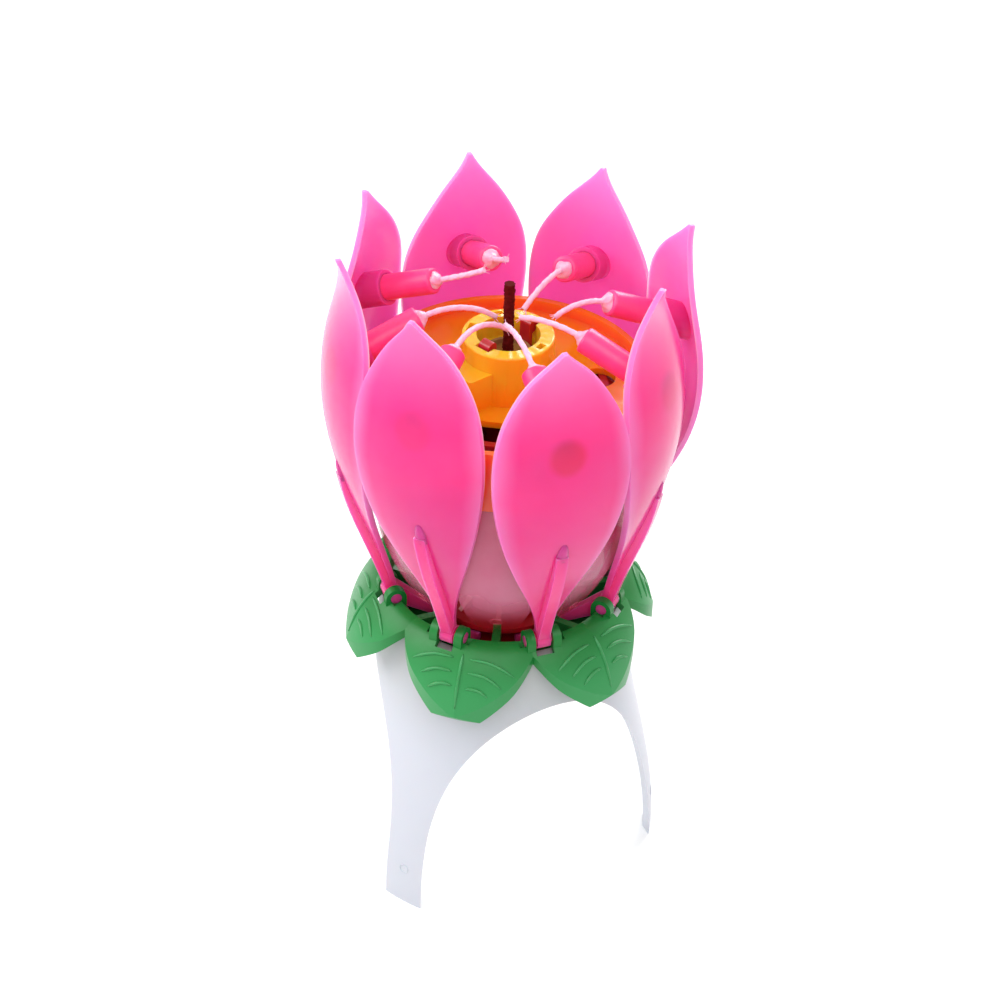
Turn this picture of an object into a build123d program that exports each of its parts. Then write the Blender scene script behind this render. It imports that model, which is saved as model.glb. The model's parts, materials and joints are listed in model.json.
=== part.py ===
from build123d import *
import math
import os

os.makedirs("parts", exist_ok=True)

# Clearances, shared by all pieces (mm)
overrun = 1.0          # how far a cut runs past the face it opens
running_gap = 0.08     # radial room of a pin, shaft or guide that moves
seat_gap = 0.05        # radial room of pieces that are fitted together
passing_gap = 0.4      # room between pieces that pass each other

# How often things repeat, and where they start round the axis (degrees)
petal_count = 8
petal_turn = -6.0
leaf_count = 6
leaf_turn = -11.7
leg_count = 3
leg_turn = 90.0

# Stand: a thin bell cut into three legs
bell_height = 57.0
bell_top_radius = 21.8
foot_radius = 30.3
bell_wall = 1.5
bell_side_shares = [(1.0, 0.0), (0.74, 0.33), (0.33, 0.63), (0.0, 1.0)]
deck_drop = 9.3            # from the bell's rim down to its inner deck
stand_deck_thickness = 1.5
arch_margin = 0.5          # from the top of an arch up to the deck
arch_half_width = 24.0
arch_start_radius = 12.0
foot_round = 1.6
spindle_boss_radius = 5.0
spindle_boss_depth = 5.5

# Spindle and what stays on it
spindle_radius = 2.5
washer_radius = 6.0
washer_thickness = 0.7
clip_radius = 4.0
clip_thickness = 0.6
clip_groove_depth = 0.4
spindle_end = 0.5          # spindle above its clip

# Base plate and bearing tube of the flower
base_radius = 16.8
base_thickness = 1.4
bearing_radius = 4.2
base_screw_circle = 15.2
base_screw_count = 4
screw_radius = 0.8
screw_head_radius = 1.6
screw_length = 4.2

# Petal lever and its hinge
hinge_radius = 20.8
lever_length = 12.0
lever_droop = 39.0         # below level, closed
petal_swing = 76.0         # from closed to open
lever_width = 2.4
hinge_boss_radius = 1.7
hinge_pin_radius = 1.0
hinge_pin_length = 6.2
nose_radius = 0.9
nose_neck_radius = 0.4     # half the lever's thickness where its nose begins
nose_slack = 0.75          # room of the nose in its groove, up and down

# Plunger: a grooved spool that slides on the bearing tube
plunger_lift_room = 0.3    # above the base plate, closed
flange_radius = 11.75
flange_thickness = 1.0
spool_radius = 7.4
spool_wall = 0.8
spool_height = 11.4
spool_top = 1.5
gusset_radius = 10.0
gusset_height = 2.5
gusset_thickness = 1.0

# Opening spring
spring_wire_radius = 0.32
spring_turns = 5
spring_side_room = 0.75    # between the coil and the bearing tube

# Petal blade
petal_reach = 31.5         # widest radius of the closed flower
petal_rise = 67.7          # from the hinge to the tip
petal_side_gap = 0.45      # from a petal's widest part to the edge of its share of the round
petal_set_angles = [1.5, 0.9, 1.4, 0.0, -0.4, 0.0, 3.4, -1.0]         # outward, as each was closed by hand
petal_lean_angles = [-2.7, -2.7, -2.7, -3.0, -2.4, -2.8, -2.3, -1.9]  # sideways
blade_wall = 1.0
blade_curve_centre = 2.6   # how far its cross curve is centred from the axis
blade_spare_turn = 8.0     # how far the blade's shell is turned past its outline (degrees)
blade_side_shares = [(0.02, 0.015), (0.24, 0.136), (0.81, 0.39), (1.0, 0.57),
                     (0.90, 0.75), (0.70, 0.905), (0.81, 1.0)]
blade_width_shares = [(0.085, 0.0), (0.10, 0.04), (0.21, 0.125), (0.56, 0.29), (0.82, 0.424),
                      (1.0, 0.61), (0.85, 0.79), (0.66, 0.855), (0.40, 0.92), (0.17, 0.965), (0.03, 1.0)]
rib_width = 2.1
rib_side_shares = [(0.13, 0.01), (0.39, 0.136), (0.64, 0.247), (0.87, 0.39)]

# Candle socket on the petal, candle and wick
socket_deck_room = 7.3     # from the deck up to the root of the socket's middle line
socket_tilt = 23.0
socket_radius = 3.1
socket_length = 5.8
socket_floor = 1.0
candle_radius = 2.25
candle_circle = 15.3       # circle on which the candles end
candle_round = 0.5
wick_radius = 0.5
wick_depth = 3.0
wick_tip_radii = [5.9, 3.7, 7.9, 6.2, 1.9, 1.6, 2.2, 3.9]        # where each wick ends, from the axis,
wick_tip_sides = [0.0, 1.9, 0.0, 0.0, 0.0, 3.1, -0.3, 0.0]       # to one side of its petal's middle
wick_tip_rises = [3.1, 1.9, 8.3, 9.0, 2.4, 1.8, 4.5, 5.4]        # and above the hub

# Collar of leaves
collar_inner_radius = 20.3
collar_reach = 28.7
collar_droop = 11.4
collar_drop = 0.5          # from the hinge down to the collar's top
collar_side_shares = [(0.0, 0.0), (0.24, 0.035), (0.43, 0.15), (0.68, 0.40), (0.86, 0.68), (1.0, 1.0)]
leaf_edge_shares = [(0.0, 1.0), (0.27, 0.88), (0.53, 0.70), (0.73, 0.50), (0.87, 0.27), (1.0, 0.0)]
collar_shift_in = 0.75     # its underside lies this far in
collar_shift_down = 1.0    # and this far down
valley_radius = 23.4
notch_radius = 23.4
notch_width = 3.2
ear_width = 1.5
ear_reach = 1.9            # round the hinge pin
ring_width = 3.9
ring_thickness = 1.4
ring_gap = 0.9             # from the plunger's flange out to the inner ring
spoke_thickness = 1.4
spoke_top_drop = 2.9       # from the hinge down to the spokes' inner ends
spoke_side_gap = 0.5       # from the bell's inner wall
spoke_inner_length = 2.3

# Clear cup
cup_radius = 23.2
cup_wall = 1.2
cup_foot_radius = 14.8
cup_belly_rise = 22.6      # from the fingers' feet to the straight wall
slot_foot_width = 6.4
slot_top_width = 1.6
slot_rise = 19.6
slot_round = 0.7

# Core housing of the music works
core_radius = 17.5
core_wall = 1.2
core_floor = 1.4
core_height = 21.8
plunger_head_room = 1.2    # over the plunger, open
core_boss_radius = 3.2
core_boss_height = 10.5
core_boss_drop = 0.8
motor_shelf_width = 9.5
motor_shelf_thickness = 0.9
board_post_radius = 1.2

# Deck with its hub
deck_wall = 1.1
deck_floor = 1.2
lip_height = 2.0
skirt_height = 11.5
hub_radius = 7.87
hub_height = 9.7
hub_recess_radius = 5.4
hub_recess_depth = 4.0
hub_edge_round = 0.35
hub_pocket_turns = [84, 139, -60]
hub_pocket_widths = [2.6, 2.6, 1.7]
hub_pocket_length = 1.1
hub_pocket_depth = 2.2
hub_pocket_circle = 6.55
boss_turn = -166.0
boss_reach = 11.4
boss_width = 8.2
boss_height = 6.4
boss_round = 0.8
window_turn = -124.0
window_inner_radius = 12.3
window_length = 8.4
window_width = 7.6
window_round = 1.2
round_hole_turn = -19.0
round_hole_circle = 15.7
round_hole_radius = 2.9

# Fountain and its holder
fountain_radius = 4.0
fountain_wall = 0.6
fountain_length = 17.8
charge_drop = 0.8          # below the tube's rim
holder_wall = 0.85
holder_depth = 11.3        # below the deck's floor
holder_floor = 1.2
holder_rise = 4.8          # above the deck's floor
holder_flange_width = 1.7
hook_turn = 22.0
hook_width = 2.2
hook_head_radius = 1.15
hook_proud = 0.7           # above the hub
fuse_radius = 0.95
fuse_proud = 9.8           # above the hub
fuse_depth = 4.0           # in the charge

# Gears: one module, involute teeth
gear_module = 0.5
pressure_angle = 20.0
addendum = 0.9             # times the module
dedendum = 1.2             # times the module
backlash = 0.12
sun_teeth = 24
small_teeth = 10
large_teeth = 24
pinion_teeth = 8
sun_hub_height = 1.0
sun_face = 2.4
gear_floor_gap = 0.1
large_gear_rise = 5.1      # its underside over the core housing's floor
large_face = 1.6
pinion_face = 2.4
gear_bore_radius = 0.8
gear_hub_radius = 1.8
idler_turn = 100.0
pin_end = 0.8

# Motor
motor_radius = 5.0
motor_height = 10.0
motor_round = 0.8
motor_nose_radius = 1.6
motor_shaft_radius = 0.5
motor_shaft_depth = 3.0
motor_rise = 8.6           # its underside over the core housing's floor

# Music board, sounder, cells and switch
board_inner_radius = 5.8
board_outer_radius = 15.6
board_thickness = 1.0
board_rise = 7.6
board_turn = 4.0
board_span = 104.0
chip_radius = 2.2
chip_height = 0.9
chip_circle = 10.6
chip_turn = 26.0
sounder_radius = 5.0
sounder_thickness = 0.4
sounder_circle = 10.2
cell_radius = 3.95
cell_height = 3.6
cell_edge = 0.35
cell_count = 3
cell_circle = 11.8
cell_turn = -75.0
contact_thickness = 0.3
contact_width = 4.0
contact_hub = 2.4
switch_turn = 15.0
switch_width = 2.4
switch_blade = 0.3
switch_tip_radius = 11.3
switch_root_radius = 14.2
switch_foot = 1.6
switch_gap = 1.0

# Heights that follow from the sizes above
stand_deck_top = bell_height - deck_drop
stand_deck_bottom = stand_deck_top - stand_deck_thickness
arch_height = stand_deck_bottom - arch_margin
base_bottom = stand_deck_top + washer_thickness
base_top = base_bottom + base_thickness
plunger_bottom = base_top + plunger_lift_room
groove_height = 2 * (nose_radius + nose_slack)
nose_height = plunger_bottom + flange_thickness + groove_height / 2
hinge_height = nose_height + lever_length * math.sin(math.radians(lever_droop))
nose_start_radius = hinge_radius - lever_length * math.cos(math.radians(lever_droop))
lever_rise = math.radians(petal_swing - lever_droop)
plunger_travel = lever_length * (math.sin(math.radians(lever_droop)) + math.sin(lever_rise))
spool_top_height = plunger_bottom + spool_height
core_bottom = spool_top_height + plunger_travel + plunger_head_room
core_floor_top = core_bottom + core_floor
deck_underside = core_bottom + core_height
deck_top = deck_underside + deck_floor
hub_top = deck_top + hub_height
deck_radius = cup_radius + running_gap + deck_wall
collar_top = hinge_height - collar_drop
cup_foot_height = hinge_height - spoke_top_drop
sun_bottom = core_floor_top + gear_floor_gap
sun_top = sun_bottom + sun_hub_height + sun_face
clip_bottom = sun_top + gear_floor_gap
spindle_top = clip_bottom + clip_thickness + spindle_end
large_gear_bottom = core_floor_top + large_gear_rise
motor_bottom = core_floor_top + motor_rise
board_bottom = core_floor_top + board_rise
ring_inner_radius = flange_radius + ring_gap
holder_radius = fountain_radius + running_gap + holder_wall
pitch_radius = gear_module / 2
idler_distance = pitch_radius * (sun_teeth + small_teeth)
pinion_distance = pitch_radius * (large_teeth + pinion_teeth)
motor_distance = 10.5


def turned(angle):
    """A plane through the axis: x outward at an angle round the axis, y up."""
    a = math.radians(angle)
    return Plane(origin=(0, 0, 0), x_dir=(math.cos(a), math.sin(a), 0), z_dir=(math.sin(a), -math.cos(a), 0))


def facing(angle, radius, height=0.0):
    """A plane that faces outward at an angle round the axis: x sideways, y up."""
    a = math.radians(angle)
    out = Vector(math.cos(a), math.sin(a), 0)
    side = (-math.sin(a), math.cos(a), 0)
    return Plane(origin=out * radius + Vector(0, 0, height), x_dir=side, z_dir=out)


def round_place(angle, radius, height=0.0):
    """A place round the axis, turned so that its x looks outward."""
    a = math.radians(angle)
    return Location((radius * math.cos(a), radius * math.sin(a), height), (0, 0, angle))


def side_points(shares, radius, width, height, rise):
    """Points of a side outline, from shares of a width and a rise."""
    return [(radius + width * across, height + rise * up) for across, up in shares]


def shifted(points, across, up):
    return [(x + across, y + up) for x, y in points]


def finish(piece, name):
    piece.part.label = name
    export_step(piece.part, f"parts/{name}.step")


def involute(angle):
    return math.tan(angle) - angle


def gear_points(teeth, turn):
    """Outline of a gear: three points up each flank, with a tooth at the given angle."""
    radius = pitch_radius * teeth
    base = radius * math.cos(math.radians(pressure_angle))
    root = radius - dedendum * gear_module
    tip = radius + addendum * gear_module
    start = max(base, root)
    half = math.pi / (2 * teeth) - backlash / (2 * radius) + involute(math.radians(pressure_angle))
    flank_radii = [start, (start + tip) / 2, tip]
    points = []
    for tooth in range(teeth):
        centre = math.radians(turn) + 2 * math.pi * tooth / teeth
        flank = [(r, half - involute(math.acos(base / r))) for r in flank_radii]
        flank.insert(0, (root, flank[0][1]))
        left = [(r, centre - a) for r, a in flank]
        right = [(r, centre + a) for r, a in reversed(flank)]
        points += left + right
    return [(r * math.cos(a), r * math.sin(a)) for r, a in points]


def biarc(p0, t0, p1, t1):
    """Two arcs from p0 to p1 that leave along t0 and arrive along t1."""
    v = p1 - p0
    s = t0 + t1
    a = 2 * (1 - t0.dot(t1))
    b = 2 * v.dot(s)
    c = -v.dot(v)
    reach = (-b + math.sqrt(b * b - 4 * a * c)) / (2 * a)
    joint = (p0 + t0 * reach + p1 - t1 * reach) / 2
    middle = ((p1 - t1 * reach) - (p0 + t0 * reach)).normalized()
    TangentArc(p0, joint, tangent=t0)
    TangentArc(joint, p1, tangent=middle)


petal_angles = [petal_turn + 360 / petal_count * i for i in range(petal_count)]
spoke_angles = [a + 180 / petal_count for a in petal_angles]

# Stand: the bell is turned from one side outline, its deck and boss carry the spindle
bell_side = side_points(bell_side_shares, bell_top_radius, foot_radius - bell_top_radius, 0, bell_height)
bell_inside = shifted(bell_side, -bell_wall, 0)
with BuildPart() as stand:
    with BuildSketch(Plane.XZ):
        with BuildLine():
            outside = Spline(*bell_side, tangents=[(0, 1), (-1, 12)])
            inside = Spline(*bell_inside, tangents=[(0, 1), (-1, 12)])
            Line(outside @ 0, inside @ 0)
            Line(outside @ 1, inside @ 1)
        make_face()
    revolve(axis=Axis.Z)
    with BuildSketch(Plane.XZ):
        with BuildLine():
            inside = Spline(*bell_inside, tangents=[(0, 1), (-1, 12)])
            Polyline(inside @ 0, (0, 0), (0, bell_height), inside @ 1)
        make_face()
        with Locations((0, stand_deck_bottom)):
            Rectangle(foot_radius, stand_deck_thickness, align=(Align.MIN, Align.MIN), mode=Mode.INTERSECT)
    revolve(axis=Axis.Z)
    for leg in range(leg_count):
        arch_turn = leg_turn + 360 / leg_count * (leg + 0.5)
        with BuildSketch(facing(arch_turn, arch_start_radius)):
            Ellipse(arch_half_width, arch_height)
            Rectangle(2 * arch_half_width + 4 * foot_round, arch_height, align=(Align.CENTER, Align.MAX))
            ground = vertices().group_by(Axis.Y)[-1]
            fillet(ground.filter_by(lambda v: abs(v.X) < arch_half_width + foot_round), foot_round)
        extrude(amount=foot_radius, mode=Mode.SUBTRACT)
    with BuildSketch(Plane.XY.offset(stand_deck_bottom - spindle_boss_depth)):
        Circle(spindle_boss_radius)
    extrude(amount=spindle_boss_depth)
    with BuildSketch(Plane.XY.offset(stand_deck_bottom - spindle_boss_depth - overrun)):
        Circle(spindle_radius + seat_gap)
    extrude(amount=spindle_boss_depth + stand_deck_thickness + 2 * overrun, mode=Mode.SUBTRACT)
finish(stand, "stand")

# Spindle, with the groove of its clip
with BuildPart() as spindle:
    with BuildSketch(Plane.XY.offset(stand_deck_bottom - spindle_boss_depth)):
        Circle(spindle_radius)
    extrude(amount=spindle_top - stand_deck_bottom + spindle_boss_depth)
    with BuildSketch(Plane.XY.offset(clip_bottom)):
        Circle(spindle_radius + overrun)
        Circle(spindle_radius - clip_groove_depth, mode=Mode.SUBTRACT)
    extrude(amount=clip_thickness + seat_gap, mode=Mode.SUBTRACT)
    chamfer(spindle.faces().sort_by(Axis.Z)[-1].edges(), clip_groove_depth / 2)
finish(spindle, "spindle")

with BuildPart() as thrust_washer:
    with BuildSketch(Plane.XY.offset(stand_deck_top)):
        Circle(washer_radius)
        Circle(spindle_radius + seat_gap, mode=Mode.SUBTRACT)
    extrude(amount=washer_thickness)
finish(thrust_washer, "thrust_washer")

with BuildPart() as retaining_clip:
    with BuildSketch(Plane.XY.offset(clip_bottom)):
        Circle(clip_radius)
        Circle(spindle_radius - clip_groove_depth + seat_gap, mode=Mode.SUBTRACT)
        with Locations((clip_radius / 2 + overrun, 0)):
            Rectangle(clip_radius + 2 * overrun, spindle_radius, mode=Mode.SUBTRACT)
    extrude(amount=clip_thickness)
finish(retaining_clip, "retaining_clip")

# Sun gear, fixed on the spindle: a tooth points at the reduction gear
with BuildPart() as sun_gear:
    with BuildSketch(Plane.XY.offset(sun_bottom + sun_hub_height)):
        with BuildLine():
            Polyline(*gear_points(sun_teeth, idler_turn), close=True)
        make_face()
    extrude(amount=sun_face)
    with BuildSketch(Plane.XY.offset(sun_bottom)):
        Circle(clip_radius)
    extrude(amount=sun_hub_height)
    with BuildSketch(Plane.XY.offset(sun_bottom - overrun)):
        Circle(spindle_radius + seat_gap)
    extrude(amount=sun_hub_height + sun_face + 2 * overrun, mode=Mode.SUBTRACT)
finish(sun_gear, "sun_gear")

# Base plate with the tube that turns on the spindle
base_screw_angles = spoke_angles[::petal_count // base_screw_count]
with BuildPart() as bearing_base:
    with BuildSketch(Plane.XY.offset(base_bottom)):
        Circle(base_radius)
    extrude(amount=base_thickness)
    with BuildSketch(Plane.XY.offset(base_bottom)):
        Circle(bearing_radius)
    extrude(amount=core_bottom - base_bottom)
    with BuildSketch(Plane.XY.offset(base_bottom - overrun)):
        Circle(spindle_radius + running_gap)
    extrude(amount=core_bottom - base_bottom + 2 * overrun, mode=Mode.SUBTRACT)
    with Locations(*[round_place(a, base_screw_circle, base_bottom) for a in base_screw_angles]):
        with Locations(Location((0, 0, 0), (180, 0, 0))):
            CounterSinkHole(screw_radius + seat_gap, screw_head_radius + seat_gap, counter_sink_angle=90)
finish(bearing_base, "bearing_base")

with BuildPart() as base_screws:
    for angle in base_screw_angles:
        a = math.radians(angle)
        spot = (base_screw_circle * math.cos(a), base_screw_circle * math.sin(a))
        with BuildSketch(Plane.XY.offset(base_bottom)):
            with Locations(spot):
                Circle(screw_head_radius)
        with BuildSketch(Plane.XY.offset(base_bottom + screw_head_radius - screw_radius)):
            with Locations(spot):
                Circle(screw_radius)
        loft()
        with BuildSketch(Plane.XY.offset(base_bottom + screw_head_radius - screw_radius)):
            with Locations(spot):
                Circle(screw_radius)
        extrude(amount=screw_length - screw_head_radius + screw_radius)
finish(base_screws, "base_screws")

# Leaf collar: a drooping skirt cut to six leaves, eight bearings, eight spokes
collar_side = side_points(collar_side_shares, collar_inner_radius, collar_reach - collar_inner_radius,
                          collar_top, -collar_droop)
collar_underside = shifted(collar_side, -collar_shift_in, -collar_shift_down)
spoke_outer_radius = bell_top_radius - bell_wall - spoke_side_gap
spoke_reach = collar_inner_radius + collar_shift_down / 2
with BuildPart() as leaf_collar:
    with BuildSketch(Plane.XZ):
        with BuildLine():
            top = Spline(*collar_side)
            under = Spline(*collar_underside)
            Line(top @ 0, under @ 0)
            Line(top @ 1, under @ 1)
        make_face()
    revolve(axis=Axis.Z)
    leaf_step = 360 / leaf_count
    with BuildSketch(Plane.XY.offset(collar_top - collar_droop - 2 * overrun)):
        with BuildLine():
            for leaf in range(leaf_count):
                turn = leaf_turn + leaf_step * leaf
                for way in (-1, 1):
                    Spline(*[Vector(valley_radius + (collar_reach - valley_radius) * out, 0).rotate(
                        Axis.Z, turn + way * leaf_step / 2 * along) for along, out in leaf_edge_shares])
        make_face()
    extrude(amount=collar_droop + 4 * overrun, mode=Mode.INTERSECT)
    for angle in petal_angles:
        with BuildSketch(turned(angle)):
            with Locations((hinge_radius, hinge_height)):
                Circle(ear_reach)
            with Locations((hinge_radius, hinge_height - ear_reach)):
                Rectangle(2 * ear_reach, ear_reach, align=(Align.CENTER, Align.MIN))
        extrude(amount=notch_width / 2 + ear_width, both=True)
    with Locations(*[round_place(a, notch_radius, hinge_height) for a in petal_angles]):
        Box(ring_width + notch_radius - collar_inner_radius, notch_width, 2 * collar_droop,
            align=(Align.MAX, Align.CENTER, Align.CENTER), mode=Mode.SUBTRACT)
    for angle in spoke_angles:
        with BuildSketch(turned(angle)):
            with BuildLine():
                Polyline((ring_inner_radius, base_top), (ring_inner_radius + ring_width, base_top),
                         (spoke_outer_radius, base_top + ring_width), (spoke_outer_radius, cup_foot_height),
                         (spoke_reach, cup_foot_height + collar_shift_down),
                         (spoke_reach, collar_top - collar_shift_down / 2),
                         (ring_inner_radius + spoke_inner_length, cup_foot_height),
                         (ring_inner_radius, cup_foot_height), close=True)
            make_face()
        extrude(amount=spoke_thickness / 2, both=True)
    with BuildSketch(Plane.XY.offset(base_top)):
        Circle(ring_inner_radius + ring_width)
        Circle(ring_inner_radius, mode=Mode.SUBTRACT)
    extrude(amount=ring_thickness)
    for angle in petal_angles:
        with BuildSketch(turned(angle)):
            with Locations((hinge_radius, hinge_height)):
                Circle(hinge_pin_radius + running_gap)
        extrude(amount=notch_width / 2 + ear_width + overrun, both=True, mode=Mode.SUBTRACT)
    with Locations(*[round_place(a, base_screw_circle, base_top) for a in base_screw_angles]):
        Cylinder(screw_radius + seat_gap, screw_length, align=(Align.CENTER, Align.CENTER, Align.MIN),
                 mode=Mode.SUBTRACT)
finish(leaf_collar, "leaf_collar")

# Clear cup: a rounded bowl whose lower wall is slotted into eight fingers
with BuildPart() as cup:
    with BuildSketch(Plane.XZ):
        with BuildLine():
            wall = Line((cup_radius, deck_underside), (cup_radius, cup_foot_height + cup_belly_rise))
            belly = TangentArc(wall @ 1, (cup_foot_radius, cup_foot_height), tangent=wall % 1)
            inner_wall = Line((cup_radius - cup_wall, deck_underside),
                              (cup_radius - cup_wall, cup_foot_height + cup_belly_rise))
            inner_belly = TangentArc(inner_wall @ 1, (cup_foot_radius - cup_wall, cup_foot_height),
                                     tangent=inner_wall % 1)
            Line(wall @ 0, inner_wall @ 0)
            Line(belly @ 1, inner_belly @ 1)
        make_face()
    revolve(axis=Axis.Z)
    for angle in petal_angles:
        with BuildSketch(facing(angle, 0, cup_foot_height - overrun)):
            with BuildLine():
                Polyline((-slot_foot_width / 2, 0), (-slot_top_width / 2, slot_rise + overrun),
                         (slot_top_width / 2, slot_rise + overrun), (slot_foot_width / 2, 0), close=True)
            make_face()
            fillet(vertices().group_by(Axis.Y)[-1], slot_round)
        extrude(amount=cup_radius + overrun, mode=Mode.SUBTRACT)
finish(cup, "cup")

# Plunger: spool with a groove for the lever noses and a pocket for the spring
pocket_radius = spool_radius - spool_wall
plunger_bore_radius = bearing_radius + running_gap
groove_bottom = plunger_bottom + flange_thickness
groove_top = groove_bottom + groove_height
with BuildPart() as plunger:
    with BuildSketch(Plane.XZ):
        with BuildLine():
            Polyline((pocket_radius, plunger_bottom), (flange_radius, plunger_bottom),
                     (flange_radius, groove_bottom), (spool_radius, groove_bottom),
                     (spool_radius, groove_top), (flange_radius, groove_top),
                     (flange_radius, groove_top + flange_thickness),
                     (spool_radius, groove_top + flange_thickness), (spool_radius, spool_top_height),
                     (plunger_bore_radius, spool_top_height),
                     (plunger_bore_radius, spool_top_height - spool_top),
                     (pocket_radius, spool_top_height - spool_top), close=True)
        make_face()
    revolve(axis=Axis.Z)
    for angle in spoke_angles:
        with BuildSketch(turned(angle)):
            with BuildLine():
                Polyline((pocket_radius + seat_gap, groove_top + flange_thickness / 2),
                         (gusset_radius, groove_top + flange_thickness / 2),
                         (gusset_radius, groove_top + flange_thickness),
                         (pocket_radius + seat_gap, groove_top + flange_thickness + gusset_height), close=True)
            make_face()
        extrude(amount=gusset_thickness / 2, both=True)
finish(plunger, "plunger")

# Opening spring: one wire wound on biarcs of a half turn, with flat ends
coil_radius = bearing_radius + spring_side_room + spring_wire_radius
coil_bottom = base_top + spring_wire_radius + seat_gap
coil_top = spool_top_height - spool_top - spring_wire_radius - seat_gap
coil_rise = (coil_top - coil_bottom) / spring_turns / math.tau
half_turns = 2 * spring_turns
coil_slope = math.hypot(coil_radius, coil_rise)
coil_points = []
coil_tangents = []
for step in range(half_turns + 1):
    a = math.pi * step
    coil_points.append(Vector(coil_radius * math.cos(a), coil_radius * math.sin(a), coil_bottom + coil_rise * a))
    coil_tangents.append(Vector(-coil_radius * math.sin(a), coil_radius * math.cos(a), coil_rise) / coil_slope)
with BuildPart() as opening_spring:
    with BuildLine() as coil:
        for step in range(half_turns):
            biarc(coil_points[step], coil_tangents[step], coil_points[step + 1], coil_tangents[step + 1])
    with BuildSketch(Plane(origin=coil_points[0], x_dir=(1, 0, 0), z_dir=coil_tangents[0])):
        RegularPolygon(spring_wire_radius, 6)
    sweep()
finish(opening_spring, "opening_spring")
print("spring: least gap between turns", round(math.tau * coil_rise - 2 * spring_wire_radius, 2))

# Core housing: floor, wall, motor shelf, posts of the board, boss under the deck's round hole
motor_turn = idler_turn + math.degrees(math.acos(
    (idler_distance ** 2 + motor_distance ** 2 - pinion_distance ** 2) / (2 * idler_distance * motor_distance)))
board_post_turns = [board_turn - board_span / 2 + 8, board_turn + board_span / 2 - 8]
idler_spot = round_place(idler_turn, idler_distance)
with BuildPart() as core_housing:
    with BuildSketch(Plane.XY.offset(core_bottom)):
        Circle(core_radius)
    extrude(amount=core_height)
    with BuildSketch(Plane.XY.offset(core_floor_top)):
        Circle(core_radius - core_wall)
    extrude(amount=core_height, mode=Mode.SUBTRACT)
    with BuildSketch(Plane.XY.offset(motor_bottom - motor_shelf_thickness)):
        with Locations(round_place(motor_turn, motor_distance)):
            Rectangle(2 * (core_radius - core_wall / 2 - motor_distance), motor_shelf_width)
            Circle(motor_nose_radius + seat_gap, mode=Mode.SUBTRACT)
    extrude(amount=motor_shelf_thickness)
    with BuildSketch(Plane.XY.offset(core_bottom)):
        with Locations(*[round_place(a, board_outer_radius - board_post_radius) for a in board_post_turns]):
            Circle(board_post_radius)
    extrude(amount=core_floor + board_rise)
    with BuildSketch(Plane.XY.offset(deck_underside - core_boss_height)):
        with Locations(round_place(round_hole_turn, round_hole_circle)):
            Circle(core_boss_radius)
    extrude(amount=core_boss_height - core_boss_drop)
    with BuildSketch(Plane.XY.offset(core_bottom)):
        with Locations(idler_spot):
            Circle(gear_hub_radius)
    extrude(amount=core_floor + sun_hub_height)
    with BuildSketch(Plane.XY.offset(core_bottom - overrun)):
        Circle(spindle_radius + passing_gap)
        with Locations(idler_spot):
            Circle(gear_bore_radius + seat_gap)
    extrude(amount=core_floor + sun_hub_height + 2 * overrun, mode=Mode.SUBTRACT)
finish(core_housing, "core_housing")

# Deck: shallow tray with a skirt over the cup, raised hub, boss, window and round hole
hook_turns = [hook_turn, hook_turn + 180]
with BuildPart() as deck:
    with BuildSketch(Plane.XY.offset(deck_top + lip_height - skirt_height)):
        Circle(deck_radius)
    extrude(amount=skirt_height)
    with BuildSketch(Plane.XY.offset(deck_top)):
        Circle(deck_radius - deck_wall)
    extrude(amount=lip_height, mode=Mode.SUBTRACT)
    with BuildSketch(Plane.XY.offset(deck_underside)):
        Circle(cup_radius + running_gap)
    extrude(amount=-skirt_height, mode=Mode.SUBTRACT)
    with BuildSketch(Plane.XY.offset(deck_top)):
        Circle(hub_radius)
    extrude(amount=hub_height)
    fillet(deck.faces().sort_by(Axis.Z)[-1].edges(), hub_edge_round)
    with BuildSketch(Plane.XY.offset(deck_top)):
        with Locations(round_place(boss_turn, boss_reach / 2)):
            RectangleRounded(boss_reach, boss_width, boss_round)
        Circle(hub_recess_radius, mode=Mode.SUBTRACT)
    extrude(amount=boss_height)
    with BuildSketch(Plane.XY.offset(hub_top)):
        Circle(hub_recess_radius)
        with Locations(*[round_place(a, hub_recess_radius) for a in hook_turns]):
            Rectangle(2 * hook_head_radius + seat_gap, hook_width + 2 * passing_gap)
    extrude(amount=-hub_recess_depth, mode=Mode.SUBTRACT)
    with BuildSketch(Plane.XY.offset(hub_top)):
        Circle(holder_radius + running_gap)
    extrude(amount=-hub_height - deck_floor - overrun, mode=Mode.SUBTRACT)
    for angle, width in zip(hub_pocket_turns, hub_pocket_widths):
        with BuildSketch(Plane.XY.offset(hub_top)):
            with Locations(round_place(angle, hub_pocket_circle)):
                Rectangle(hub_pocket_length, width)
        extrude(amount=-hub_pocket_depth, mode=Mode.SUBTRACT)
    with BuildSketch(Plane.XY.offset(deck_top)):
        with Locations(round_place(window_turn, window_inner_radius + window_length / 2)):
            RectangleRounded(window_length, window_width, window_round)
        with Locations(round_place(round_hole_turn, round_hole_circle)):
            Circle(round_hole_radius)
    extrude(amount=-deck_floor, mode=Mode.SUBTRACT)
finish(deck, "deck")

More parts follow.
